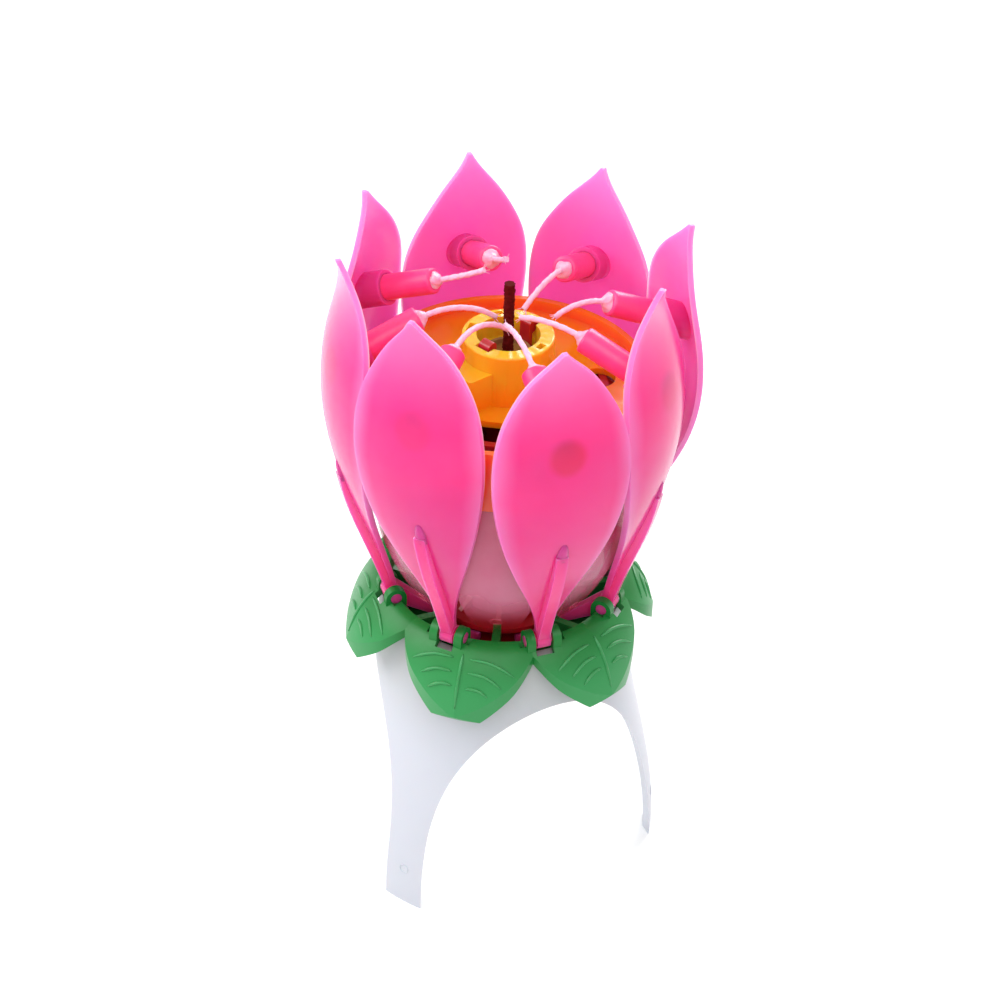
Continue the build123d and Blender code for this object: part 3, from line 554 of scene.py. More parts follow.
@dataclass(frozen=True)
class LeafFinish:
    """Green moulded leaves with painted light towards the rim, folded along each midrib, with an uneven
    gloss.
    """

    first_turn: float
    leaves: int = 6
    name: str = "leaf_green"
    inner: float = 0.0225
    outer: float = 0.0285
    rim_light_tint: float = 0.55
    fold: float = 0.12
    patch: float = 0.006
    grain: float = 0.0005
    gloss: tuple[float, float] = (0.3, 0.42)
    shine: float = 0.3
    relief: float = 0.008 * MM

    def material(self) -> bpy.types.Material:
        """Makes the finish's material.

        Returns:
            The material.
        """
        shading = Shading(self.name)
        x, y, _ = shading.split(shading.place())
        turn = shading.math("SUBTRACT", shading.math("ARCTAN2", y, x), self.first_turn)
        reach = shading.reach(x, y)
        base = shading.blend(shading.noise(self.patch), Tone.LEAF_DARK.colour, Tone.LEAF.colour)
        # Painted light: lighter towards the leaves' rim.
        rim = shading.step(reach, self.inner, self.outer, self.rim_light_tint)
        fine = shading.noise(self.grain, detail=2.0)
        shading.set(
            Base_Color=shading.blend(rim, base, Tone.LEAF_RIM_LIT.colour),
            Roughness=shading.span(fine, *self.gloss),
            Specular_IOR_Level=self.shine,
        )
        aside = shading.product(shading.math("PINGPONG", turn, math.pi / self.leaves), reach)
        sink = shading.product(aside, -self.fold)
        shading.bump(shading.math("ADD", sink, shading.product(fine, self.relief)), 1.0)
        return shading.material


@dataclass(frozen=True)
class DeckFinish:
    """Translucent deck: yellow at the hub, orange on the tray, red towards the rim and down the skirt."""

    tray_height: float
    hub_height: float
    rim_radius: float
    hub_radius: float
    name: str = "deck_orange"
    tray_band: float = 0.3 * MM
    hub_share: float = 0.6
    rim_share: float = 0.82
    skirt_drops: tuple[float, float] = (1 * MM, 4 * MM)
    patch: float = 0.005
    patch_tint: float = 0.25
    grain: float = 0.0005
    gloss: tuple[float, float] = (0.14, 0.24)
    depth: float = 0.7
    scatter: float = 2 * MM
    ripples: int = 24
    relief: float = 0.02 * MM

    def tone(self, shading: Shading, reach: Output, height: Output) -> Output:
        """The deck's colour, before it is clouded.

        Args:
            shading: The material's nodes.
            reach: Distance from the axis.
            height: Height above the ground.

        Returns:
            The colour as an output.
        """
        out = shading.step(reach, self.hub_radius, self.rim_radius)
        tray = shading.blend(out, Tone.DECK_MIDDLE.colour, Tone.DECK_TRAY.colour)
        rim = shading.step(reach, self.rim_share * self.rim_radius, self.rim_radius)
        tray = shading.blend(rim, tray, Tone.DECK_RIM.colour)
        hub_start = self.tray_height + self.hub_share * (self.hub_height - self.tray_height)
        rise = shading.step(height, self.tray_height + self.tray_band, hub_start)
        raised = shading.blend(rise, tray, Tone.DECK_HUB.colour)
        first_drop, last_drop = self.skirt_drops
        below = shading.step(height, self.tray_height - first_drop, self.tray_height - last_drop)
        return shading.blend(below, raised, Tone.DECK_RIM.colour)

    def material(self) -> bpy.types.Material:
        """Makes the finish's material.

        Returns:
            The material.
        """
        shading = Shading(self.name)
        x, y, z = shading.split(shading.place())
        tone = self.tone(shading, shading.reach(x, y), z)
        clouds = shading.noise(self.patch)
        tint = shading.product(clouds, self.patch_tint)
        fine = shading.noise(self.grain, detail=2.0)
        shading.set(
            Base_Color=shading.blend(tint, tone, Tone.DECK_MIDDLE.colour),
            Roughness=shading.span(fine, *self.gloss),
            Subsurface_Weight=self.depth,
            Subsurface_Scale=self.scatter,
        )
        turns = shading.product(shading.math("ARCTAN2", y, x), float(self.ripples))
        shading.bump(shading.math("ADD", shading.math("SINE", turns), clouds), self.relief)
        return shading.material


@dataclass(frozen=True)
class ClearFinish:
    """Clear moulded cup, slightly pink and hazy, redder below, with gloss on its faces."""

    low: float
    high: float
    name: str = "cup_clear"
    thin: float = 0.16
    thick: float = 0.4
    patch: float = 0.007
    gloss: tuple[float, float] = (0.1, 0.22)
    coat: float = 0.3
    wave: float = 0.004
    relief: float = 0.03 * MM

    def material(self) -> bpy.types.Material:
        """Makes the finish's material.

        Returns:
            The material.
        """
        shading = Shading(self.name)
        haze = shading.noise(self.patch)
        height = shading.split(shading.place())[2]
        pale = shading.blend(haze, Tone.CLEAR.colour, Tone.CLEAR_HAZE.colour)
        below = shading.step(height, self.high, self.low)
        shading.set(
            Base_Color=shading.blend(below, pale, Tone.CLEAR_LOW.colour),
            Roughness=shading.span(haze, *self.gloss),
            Alpha=shading.span(shading.step(height, self.low, self.high), self.thin, self.thick),
            Coat_Weight=self.coat,
        )
        shading.bump(shading.noise(self.wave, detail=1.0), self.relief)
        return shading.material


@dataclass(frozen=True)
class PetalFinish:
    """Thin pink moulding: hot pink in the middle, deeper where the socket is, with painted light and shade.

    Painted light makes the inner face lighter and lays a lilac glow at the edges and tip, as if light came
    through the thin plastic; painted shade makes the foot deeper. Shares run from the hinge up to the tip,
    or from the middle line out to the edge. Each tint says how much of its tone there is at most.
    """

    turn: Matrix
    hinge: Vector
    rise: float
    socket_out: float
    socket_slant: float
    spot_tint: float
    half_width: float = 0.0116
    outline: tuple[tuple[float, float], ...] = (
        (0.0, 0.10), (0.125, 0.22), (0.29, 0.56), (0.424, 0.82), (0.61, 1.0),
        (0.79, 0.86), (0.855, 0.68), (0.92, 0.44), (1.0, 0.10),
    )
    outside: tuple[float, float] = (-0.3, 0.3)
    edge_across: tuple[float, float] = (0.72, 1.1)
    edge_up: tuple[float, float] = (0.1, 0.4)
    edge_glow_tint: float = 0.6
    tip_up: tuple[float, float] = (0.72, 1.0)
    tip_glow_tint: float = 0.6
    foot_up: tuple[float, float] = (0.34, 0.02)
    foot_shade_tint: float = 0.8
    socket_fade: float = MM
    socket_sides: tuple[float, float] = (3.8 * MM, 3.4 * MM)
    socket_start: tuple[float, float] = (0.59, 0.62)
    socket_end: tuple[float, float] = (0.83, 0.8)
    spot_up: float = 0.72
    spot_radius: float = 0.003
    spot_fade: tuple[float, float] = (1.3, 0.7)
    patch: float = 0.011
    patch_tint: float = 0.14
    gloss: tuple[float, float] = (0.16, 0.26)
    shine: float = 0.32
    depth: float = 0.85
    scatter_shares: tuple[float, float, float] = (1.0, 0.6, 0.7)
    scatter: float = 4 * MM
    relief: float = 0.05 * MM

    def blade(self, shading: Shading, side: Output, share: Output, outward: Output) -> Output:
        """The blade's colour with its painted glow and shade, without its socket and spot.

        Args:
            shading: The material's nodes.
            side: How far sideways a place is.
            share: How far up it is, as a share.
            outward: 1 on the outer face, 0 on the inner one.

        Returns:
            The colour as an output.
        """
        width = shading.product(shading.ramp(share, self.outline), self.half_width)
        across = shading.math("DIVIDE", shading.math("ABSOLUTE", side), width)
        # Painted light: the inner face is lighter, as if light came through the petal.
        tone = shading.blend(outward, Tone.PETAL_INSIDE_GLOW.colour, Tone.PETAL.colour)
        # Painted light: a lilac glow towards the edges and the tip, where light shines through the thin
        # plastic.
        edge = shading.step(across, *self.edge_across, self.edge_glow_tint)
        edge = shading.product(edge, shading.step(share, *self.edge_up))
        tone = shading.blend(edge, tone, Tone.PETAL_GLOW.colour)
        tip = shading.step(share, *self.tip_up, self.tip_glow_tint)
        tone = shading.blend(tip, tone, Tone.PETAL_GLOW.colour)
        # Painted shade: deeper at the foot, down among the other petals.
        foot = shading.step(share, *self.foot_up, self.foot_shade_tint)
        return shading.blend(foot, tone, Tone.PETAL_FOOT_SHADE.colour)

    def socket(self, shading: Shading, out: Output, side: Output, share: Output) -> Output:
        """Where the candle's socket is.

        Args:
            shading: The material's nodes.
            out: How far outward a place is.
            side: How far sideways it is.
            share: How far up it is, as a share.

        Returns:
            1 on the socket and 0 elsewhere, as an output.
        """
        above = shading.math("SUBTRACT", out, shading.product(share, self.socket_slant))
        inward = shading.step(above, self.socket_out, self.socket_out - self.socket_fade)
        narrow = shading.step(shading.math("ABSOLUTE", side), *self.socket_sides)
        start = shading.step(share, *self.socket_start)
        end = shading.step(share, *self.socket_end)
        return shading.product(inward, narrow, start, end)

    def spot(self, shading: Shading, side: Output, up: Output, outward: Output) -> Output:
        """Where the socket's root shows through the outer face.

        Args:
            shading: The material's nodes.
            side: How far sideways a place is.
            up: How far up it is.
            outward: 1 on the outer face, 0 on the inner one.

        Returns:
            The spot's tint there, as an output.
        """
        above = shading.math("SUBTRACT", up, self.rise * self.spot_up)
        outer, inner = self.spot_fade
        spot = shading.step(shading.reach(above, side), outer * self.spot_radius, inner * self.spot_radius)
        return shading.product(spot, outward, self.spot_tint)

    def material(self, name: str) -> bpy.types.Material:
        """Makes the material of one petal.

        Args:
            name: Name of the material.

        Returns:
            The material.
        """
        shading = Shading(name)
        out, side, up = shading.split(shading.moved(self.turn, self.hinge))
        share = shading.math("DIVIDE", up, self.rise)
        outward = shading.step(shading.facing(self.turn[0]), *self.outside)
        tone = self.blade(shading, side, share, outward)
        tone = shading.blend(self.socket(shading, out, side, share), tone, Tone.SOCKET.colour)
        tone = shading.blend(self.spot(shading, side, up, outward), tone, Tone.PETAL_SPOT.colour)
        clouds = shading.noise(self.patch, detail=2.0)
        tint = shading.product(clouds, self.patch_tint)
        shading.set(
            Base_Color=shading.blend(tint, tone, Tone.PETAL_GLOW.colour),
            Roughness=shading.span(clouds, *self.gloss),
            Specular_IOR_Level=self.shine,
            Subsurface_Weight=self.depth,
            Subsurface_Radius=self.scatter_shares,
            Subsurface_Scale=self.scatter,
        )
        shading.bump(clouds, self.relief)
        return shading.material


FINISHES: dict[Slot | Trim, Finish | BrushedFinish] = {
    Slot.WHITE_PLASTIC: Finish("stand_white", Tone.WHITE, Tone.WHITE_SHADE, roughness=0.34, depth=0.15),
    Slot.RED_PLASTIC: Finish("works_red", Tone.RED, Tone.RED_DARK, roughness=0.3, coat=0.2, depth=0.7),
    Slot.PINK_WAX: Finish(
        "candle_wax", Tone.CANDLE, Tone.CANDLE_PALE, roughness=0.34, patch=0.003, relief=0.00002, depth=0.3
    ),
    Slot.WHITE_WICK: Finish(
        "wick_cotton", Tone.WICK, Tone.WICK_SHADE, roughness=0.5, patch=0.0008, relief=0.00004, depth=0.3
    ),
    Slot.DARK_FUSE: Finish(
        "fuse_coat", Tone.FUSE, Tone.FUSE_LIGHT,
        roughness=0.8, patch=0.0007, grain=0.0003, relief=0.00008, shine=0.08,
    ),
    Slot.BROWN_PAPER: Finish(
        "tube_paper", Tone.PAPER, Tone.PAPER_DARK, roughness=0.85, patch=0.002, relief=0.00004
    ),
    Slot.PALE_POWDER: Finish(
        "charge_powder", Tone.POWDER, Tone.POWDER_DARK, roughness=0.95, patch=0.0006, relief=0.0001
    ),
    Slot.BRIGHT_STEEL: BrushedFinish("bright_steel", Tone.STEEL, Tone.STEEL_DARK),
    Slot.SPRING_STEEL: BrushedFinish("spring_steel", Tone.STEEL, Tone.STEEL_DARK, roughness=0.26),
    Slot.CELL_STEEL: BrushedFinish("cell_steel", Tone.STEEL, Tone.STEEL_DARK, roughness=0.22),
    Slot.SPRING_BRONZE: BrushedFinish("spring_bronze", Tone.BRONZE, Tone.BRONZE_DARK),
    Slot.SOUNDER_BRASS: BrushedFinish("sounder_brass", Tone.BRASS, Tone.BRASS_DARK),
    Slot.WHITE_ACETAL: Finish("gear_acetal", Tone.ACETAL, Tone.ACETAL_SHADE, roughness=0.45),
    Slot.BOARD_LAMINATE: Finish(
        "board_laminate", Tone.LAMINATE, Tone.LAMINATE_DARK, roughness=0.6, patch=0.0015
    ),
    Slot.BLACK_RESIN: Finish("chip_resin", Tone.RESIN, Tone.RESIN_LIGHT, roughness=0.3, patch=0.002),
    Trim.VEIN: Finish("vein_green", Tone.VEIN, Tone.VEIN_DARK, roughness=0.3, patch=0.004, depth=0.1),
    Trim.BEAD: Finish(
        "bead_wax", Tone.BEAD, Tone.WICK, roughness=0.3, patch=0.001, relief=0.00004, depth=0.5
    ),
}


def round_ways(across: Vector, other: Vector, count: int) -> list[tuple[float, Vector]]:
    """Directions spread evenly round a middle line.

    Args:
        across: The first direction.
        other: The direction a quarter turn further.
        count: How many there are.

    Returns:
        The angle and the direction of each.
    """
    angles = [math.tau * k / count for k in range(count)]
    return [(angle, across * math.cos(angle) + other * math.sin(angle)) for angle in angles]


class Moulder:
    """Gathers rings of points into one mesh."""

    def __init__(self) -> None:
        """Starts with no points and no faces."""
        self.points: list[Vector] = []
        self.faces: list[tuple[int, ...]] = []

    def loft(self, rings: list[list[Vector]], round_piece: bool = False) -> None:
        """Joins rings of equal count into a closed skin, with a flat end at each side.

        Args:
            rings: The rings, in order along the piece.
            round_piece: Joins the last ring to the first in place of the flat ends.
        """
        start = len(self.points)
        count = len(rings[0])
        for ring in rings:
            self.points += ring
        for row in range(len(rings) - (0 if round_piece else 1)):
            low = start + row * count
            high = start + (row + 1) % len(rings) * count
            for i in range(count):
                j = (i + 1) % count
                self.faces.append((low + i, low + j, high + j, high + i))
        if round_piece:
            return
        self.faces.append(tuple(reversed(range(start, start + count))))
        last = start + (len(rings) - 1) * count
        self.faces.append(tuple(range(last, last + count)))

    def tube(self, path: list[Vector], radius: Callable[[float, float], float], sides: int) -> None:
        """Lays a tube along a path.

        Args:
            path: Points of its middle line.
            radius: Gives the radius from the share along the path and the angle round it.
            sides: Points round each ring.
        """
        rings: list[list[Vector]] = []
        across: Vector | None = None
        for i, point in enumerate(path):
            along = (path[min(i + 1, len(path) - 1)] - path[max(i - 1, 0)]).normalized()
            across = along.orthogonal() if across is None else across - along * across.dot(along)
            across.normalize()
            share = i / (len(path) - 1)
            ways = round_ways(across, along.cross(across), sides)
            rings.append([point + way * radius(share, angle) for angle, way in ways])
        self.loft(rings)

    def piece(self, name: str, material: bpy.types.Material, body: str, slot: Slot) -> bpy.types.Object:
        """Makes the mesh an object that rides on a CAD body, smooth but for its flat ends.

        Args:
            name: Name of the piece.
            material: Its finish.
            body: The CAD body it moves with.
            slot: The record's material slot it belongs to; not used.

        Returns:
            The new object.
        """
        mesh = bpy.data.meshes.new(name)
        mesh.from_pydata(self.points, [], self.faces)
        mesh.polygons.foreach_set("use_smooth", [len(face) == 4 for face in self.faces])
        mesh.materials.append(material)
        mesh.update()
        piece = bpy.data.objects.new(name, mesh)
        bpy.context.scene.collection.objects.link(piece)
        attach(piece, body)
        LOG.info("made %s", name)
        return piece


def corners(node: bpy.types.Object) -> np.ndarray:
    """The vertices of a CAD node as rows of x, y and z."""
    return np.array([v.co for v in node.data.vertices], float)


def search_tree(node: bpy.types.Object) -> BVHTree:
    """Makes a tree that finds where rays meet a node.

    Args:
        node: The CAD node.

    Returns:
        The tree.
    """
    points = [v.co.copy() for v in node.data.vertices]
    faces = [tuple(p.vertices) for p in node.data.polygons]
    return BVHTree.FromPolygons(points, faces)


@dataclass
class MouldingMarks:
    """Small round marks that a mould leaves, one on each of some equal parts of a node."""

    node: bpy.types.Object
    first: float
    count: int
    height: float
    radius: float
    wall: float = 0.12 * MM
    cast_reach: float = 0.1
    sections: int = 24
    sides: int = 6

    def moulder(self) -> Moulder:
        """Lays the marks' thin rings on the node's outer face.

        Returns:
            The rings, ready to be made a piece.
        """
        tree = search_tree(self.node)
        moulder = Moulder()
        for i in range(self.count):
            angle = math.radians(self.first + 360 / self.count * i)
            way = Vector((math.cos(angle), math.sin(angle), 0))
            spot, normal, _, _ = tree.ray_cast(way * self.cast_reach + UP * self.height, -way)
            side = UP.cross(normal).normalized()
            ways = round_ways(side, normal.cross(side), self.sections)
            moulder.loft([self.section(spot, out, normal) for _, out in ways], round_piece=True)
        return moulder

    def section(self, spot: Vector, out: Vector, normal: Vector) -> list[Vector]:
        """One round section of a mark's thin ring.

        Args:
            spot: The mark's middle.
            out: From the middle to the section, along the face.
            normal: Out of the face.

        Returns:
            The section's points.
        """
        ways = round_ways(out, normal, self.sides)
        return [spot + out * self.radius + way * self.wall for _, way in ways]


@dataclass
class SubAssembly:
    """Some nodes of the frame that are dressed together."""

    frame: dict[str, Any]
    finishes: dict[Slot | Trim, bpy.types.Material]

    def node(self, name: str) -> bpy.types.Object:
        """A CAD node by name."""
        return self.frame["nodes"][name]

    def slot_of(self, name: str) -> Slot:
        """The record's material slot of a node."""
        parts = self.frame["record"]["subparts"]
        return Slot(next(part["material_slot"] for part in parts if part["node"] == name))

    def dress(self, name: str, material: bpy.types.Material) -> None:
        """Gives every face of a CAD node one finish.

        Args:
            name: The node's name.
            material: The finish.
        """
        mesh = self.node(name).data
        mesh.materials.clear()
        mesh.materials.append(material)
        mesh.polygons.foreach_set("material_index", [0] * len(mesh.polygons))
        LOG.info("dressed %s", name)

    def dress_plain(self, names: list[str]) -> None:
        """Dresses nodes with the finishes of their slots."""
        for name in names:
            self.dress(name, self.finishes[self.slot_of(name)])


@dataclass
class Stand(SubAssembly):
    """The white bell on its three legs, with the spindle, washer, sun gear and clip."""

    legs: int = 3
    first_leg: float = 90.0
    mark_radius: float = 0.9 * MM
    mark_height: float = 8.0 * MM
    shade_share: float = 0.55
    names: list[str] = field(
        default_factory=lambda: ["stand", "spindle", "thrust_washer", "sun_gear", "retaining_clip"]
    )

    def build(self) -> None:
        """Dresses the stand's nodes and puts a moulding mark on each leg."""
        self.dress_plain(self.names)
        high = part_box("stand")[1].z
        self.dress("stand", StandFinish(self.shade_share * high, high).material())
        marks = MouldingMarks(
            self.node("stand"), self.first_leg, self.legs, self.mark_height, self.mark_radius
        )
        white = self.finishes[Slot.WHITE_PLASTIC]
        marks.moulder().piece("leg_marks", white, Body.STAND.value, Slot.WHITE_PLASTIC)


@dataclass
class LeafCollar(SubAssembly):
    """The green collar of six leaves, with the raised veins of each leaf.

    A vein runs from an angle and a radius to another angle and radius, in degrees and millimetres. Its
    angles count from the middle of the leaf.
    """

    leaves: int = 6
    vein_radius: float = 0.3 * MM
    end_share: float = 0.35
    end_slope: float = 5.0
    raised: float = 0.04 * MM
    sides: int = 8
    steps: int = 14
    bow: float = 0.03
    cast_height: float = 0.075
    least_slope: float = 0.2
    midrib: tuple[float, float, float, float] = (0.0, 23.4, 0.0, 28.2)
    side_veins: tuple[tuple[float, float, float, float], ...] = (
        (-4.0, 24.0, -20.6, 25.5),
        (-3.4, 25.5, -15.4, 26.4),
        (-2.4, 26.7, -11.3, 27.3),
        (3.2, 23.9, 21.4, 25.5),
        (3.3, 25.4, 16.3, 26.5),
        (3.1, 26.8, 11.4, 27.2),
    )

    def vein(self, tree: BVHTree, turn: float, run: tuple[float, float, float, float]) -> list[Vector]:
        """Lays one vein's line on the leaf.

        Args:
            tree: Search tree of the collar.
            turn: The leaf's own angle in degrees.
            run: Angle and radius of the vein's start, then of its end.

        Returns:
            Points of the line, a little above the surface.
        """
        first_turn, first_radius, last_turn, last_radius = run
        line: list[Vector] = []
        for i in range(self.steps + 1):
            share = i / self.steps
            bow = math.sin(math.pi * share) * (first_turn - last_turn) * self.bow
            angle = math.radians(turn + first_turn + (last_turn - first_turn) * share)
            radius = (first_radius + (last_radius - first_radius) * share - abs(bow)) * MM
            above = Vector((radius * math.cos(angle), radius * math.sin(angle), self.cast_height))
            spot, normal, _, _ = tree.ray_cast(above, -UP)
            if spot is not None and normal.z > self.least_slope:
                line.append(spot + normal * self.raised)
        return line

    def taper(self, share: float, _angle: float) -> float:
        """A vein's radius: full for most of its length, thin at both ends."""
        rise = min(1.0, self.end_slope * min(share, 1 - share))
        return self.vein_radius * (self.end_share + (1 - self.end_share) * rise)

    def build(self) -> None:
        """Dresses the collar and adds the veins, one piece for each leaf."""
        collar = self.node("leaf_collar")
        tree = search_tree(collar)
        points = corners(collar)
        tip = points[np.argmax(np.hypot(points[:, 0], points[:, 1]))]
        first = math.degrees(math.atan2(tip[1], tip[0]))
        self.dress("leaf_collar", LeafFinish(math.radians(first), self.leaves).material())
        for leaf in range(self.leaves):
            moulder = Moulder()
            turn = first + 360 / self.leaves * leaf
            for run in (self.midrib, *self.side_veins):
                moulder.tube(self.vein(tree, turn, run), self.taper, self.sides)
            name = f"leaf_veins_{leaf + 1}"
            moulder.piece(name, self.finishes[Trim.VEIN], Body.FLOWER.value, Slot.GREEN_PLASTIC)


@dataclass
class MusicWorks(SubAssembly):
    """Cup, red housing, deck and everything that they hold, with the plunger and gears."""

    names: list[str] = field(
        default_factory=lambda: [
            "bearing_base", "base_screws", "core_housing", "motor", "idler_pin", "circuit_board",
            "chip_cover", "sounder", "button_cells", "cell_contacts", "switch_blades", "opening_spring",
            "plunger", "reduction_gear", "motor_pinion",
        ]
    )
    hub_radius: float = 7.87 * MM
    hub_rise: float = 9.7 * MM
    fingers: int = 8
    first_finger: float = 16.5
    mark_rise: float = 5.5 * MM
    mark_radius: float = 1.1 * MM
    foot_rise: float = 2.0 * MM
    tint_rise: float = 12.0 * MM

    def build(self) -> None:
        """Dresses the works, and the deck and the cup with their own finishes."""
        self.dress_plain(self.names)
        _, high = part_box("deck")
        deck = DeckFinish(high.z - self.hub_rise, high.z, high.x, self.hub_radius)
        self.dress("deck", deck.material())
        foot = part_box("cup")[0].z
        clear = ClearFinish(foot + self.foot_rise, foot + self.tint_rise).material()
        self.dress("cup", clear)
        marks = MouldingMarks(
            self.node("cup"), self.first_finger, self.fingers, foot + self.mark_rise, self.mark_radius
        )
        marks.moulder().piece("cup_marks", clear, Body.FLOWER.value, Slot.CLEAR_PLASTIC)


@dataclass
class Fountain(SubAssembly):
    """The fountain in the hub: holder, paper tube, charge, and a rough fuse in place of the plain stick."""

    names: list[str] = field(
        default_factory=lambda: ["fountain_holder", "fountain_tube", "fountain_charge", "fuse"]
    )
    rings: int = 110
    sides: int = 26
    roughness: float = 0.2
    grain: float = 0.0004
    swell: float = 1.16

    def ring(self, middle: Vector, radius: float) -> list[Vector]:
        """One rough ring of the fuse.

        Args:
            middle: The ring's middle.
            radius: The fuse's greatest radius.

        Returns:
            The ring's points.
        """
        points = []
        for _, way in round_ways(Vector((1, 0, 0)), Vector((0, 1, 0)), self.sides):
            knob = noise.noise((way * radius + UP * middle.z) / self.grain)
            reach = radius * (1 - self.roughness + self.roughness * knob)
            points.append(middle + way * reach)
        return points

    def build(self) -> None:
        """Dresses the fountain and makes its fuse."""
        self.dress_plain(self.names)
        low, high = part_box("fuse")
        radius = (high.x - low.x) / 2 * self.swell
        middle = (low + high) / 2
        heights = [low.z + (high.z - low.z) * i / self.rings for i in range(self.rings + 1)]
        moulder = Moulder()
        moulder.loft([self.ring(Vector((middle.x, middle.y, height)), radius) for height in heights])
        coat = self.finishes[Slot.DARK_FUSE]
        fuse = moulder.piece("rough_fuse", coat, Body.FLOWER.value, Slot.DARK_FUSE)
        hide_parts("fuse")


@dataclass
class PetalPart(SubAssembly):
    """What rides on one of the numbered petals."""

    number: int = 1

    @property
    def body(self) -> str:
        """The petal's CAD body."""
        return f"petal_{self.number}"


@dataclass
class WaxedWick(PetalPart):
    """A petal's wick, stiff with wax and frayed at its cut end, with the bead of wax at its root."""

    radius: float = 0.56 * MM
    root: float = 2.6 * MM
    cad_digits: int = 6
    cad_sides: int = 8
    bend_steps: int = 48
    least_bend: float = 0.01
    sides: int = 18
    strands: int = 3
    twist: float = 2.4 * MM
    core_share: float = 0.84
    lobe_share: float = 0.05
    lump_share: float = 0.15
    lumps_per_mm: float = 1.6
    wick_seed: int = 7
    fibres: int = 5
    fibre_length: float = 1.1 * MM
    fibre_radius: float = 0.09 * MM
    fibre_thinning: float = 0.6
    fibre_spread: float = 0.6
    fibre_steps: int = 6
    fibre_sides: int = 6
    fibre_seed: float = 0.5
    bead_radius: float = 1.6 * MM
    bead_length: float = 1.5 * MM
    bead_sink: float = 0.15 * MM
    bead_power: float = 1.3
    bead_steps: int = 10
    bead_sides: int = 22
    bead_lumps: tuple[float, float] = (1.4, 2.5)
    bead_lump_share: float = 0.3
    bead_seed: int = 3

    def candle_axis(self) -> tuple[Vector, Vector]:
        """Finds the candle's middle line from its vertices.

        Returns:
            Where the candle ends, and the direction in which it points.
        """
        points = corners(self.node(f"candle_{self.number}"))
        middle = points.mean(0)
        spread = (points - middle).T @ (points - middle)
        way = np.linalg.eigh(spread)[1][:, -1]
        if np.dot(way[:2], middle[:2]) > 0:
            way = -way
        end = middle + way * ((points - middle) @ way).max()
        return Vector(end), Vector(way)

    def cad_tip(self, end: Vector) -> Vector:
        """Finds the tip of the plain wick, in the middle of its farthest points.

        Args:
            end: Where the candle ends.

        Returns:
            The tip.
        """
        places = [v.co for v in self.node(f"wick_{self.number}").data.vertices]
        points = {tuple(round(c, self.cad_digits) for c in place) for place in places}
        far = sorted(points, key=lambda p: -(Vector(p) - end).length)[: self.cad_sides]
        return sum((Vector(p) for p in far), Vector()) / len(far)

    def line(self, end: Vector, way: Vector) -> list[Vector]:
        """The wick's middle line: straight in the candle, then one arc to its tip.

        Args:
            end: Where the candle ends.
            way: The candle's direction.

        Returns:
            Points from root to tip.
        """
        chord = self.cad_tip(end) - end
        half = way.angle(chord)
        line = [end - way * self.root, end - way * self.root / 2]
        side = (chord - way * chord.dot(way)).normalized()
        bends = half > self.least_bend
        bend = chord.length / (2 * math.sin(half)) if bends else 1.0
        for i in range(self.bend_steps + 1):
            turn = 2 * half * i / self.bend_steps
            if bends:
                line.append(end + way * bend * math.sin(turn) + side * bend * (1 - math.cos(turn)))
            else:
                line.append(end + chord * i / self.bend_steps)
        return line

    def uneven_radius(self, length: float) -> Callable[[float, float], float]:
        """Gives the wick's lobed and slightly uneven radius.

        Args:
            length: The wick's length.

        Returns:
            A function of the share along the wick and the angle round it.
        """

        def radius(share: float, angle: float) -> float:
            """The radius at one place of the wick.

            Args:
                share: The share along the wick.
                angle: The angle round it.

            Returns:
                The radius.
            """
            along = share * length
            lobes = math.cos(self.strands * angle + math.tau * along / self.twist)
            height = self.lumps_per_mm * along / MM + self.wick_seed * self.number
            lumps = noise.noise(Vector((math.cos(angle), math.sin(angle), height)))
            return self.radius * (self.core_share + self.lobe_share * lobes + self.lump_share * lumps)

        return radius

    def fibre_taper(self, share: float, _angle: float) -> float:
        """A fibre's radius, thinner towards its end."""
        return self.fibre_radius * (1 - self.fibre_thinning * share)

    def add_fibres(self, moulder: Moulder, line: list[Vector]) -> None:
        """Adds the loose fibres at the wick's cut end.

        Args:
            moulder: Takes the fibres.
            line: The wick's middle line.
        """
        along = (line[-1] - line[-2]).normalized()
        across = along.orthogonal().normalized()
        other = along.cross(across)
        for k in range(self.fibres):
            stray = noise.noise(Vector((k, self.number, self.fibre_seed)))
            angle = math.tau * (k / self.fibres + stray)
            out = across * math.cos(angle) + other * math.sin(angle)
            root = line[-1] - along * self.fibre_length / 2 + out * self.radius / 2
            path = []
            for i in range(self.fibre_steps + 1):
                share = i / self.fibre_steps
                reach = along * share + out * share**2 * self.fibre_spread
                path.append(root + reach * self.fibre_length)
            moulder.tube(path, self.fibre_taper, self.fibre_sides)

    def add_bead(self, end: Vector, way: Vector) -> None:
        """Adds the lumpy bead of wax round the wick's root.

        Args:
            end: Where the candle ends.
            way: The candle's direction.
        """
        across = way.orthogonal().normalized()
        lumps_round, lumps_along = self.bead_lumps
        rings: list[list[Vector]] = []
        for i in range(self.bead_steps + 1):
            share = i / self.bead_steps
            middle = end + way * (self.bead_length * share - self.bead_sink)
            fall = math.cos(share * math.pi / 2) ** self.bead_power
            size = self.radius + (self.bead_radius - self.radius) * fall
            height = UP * (lumps_along * share + self.bead_seed * self.number)
            ring = []
            for _, out in round_ways(across, way.cross(across), self.bead_sides):
                lump = noise.noise(out * lumps_round + height)
                ring.append(middle + out * size * (1 + self.bead_lump_share * lump))
            rings.append(ring)
        moulder = Moulder()
        moulder.loft(rings)
        wax = self.finishes[Trim.BEAD]
        moulder.piece(f"wax_bead_{self.number}", wax, self.body, Slot.PINK_WAX)

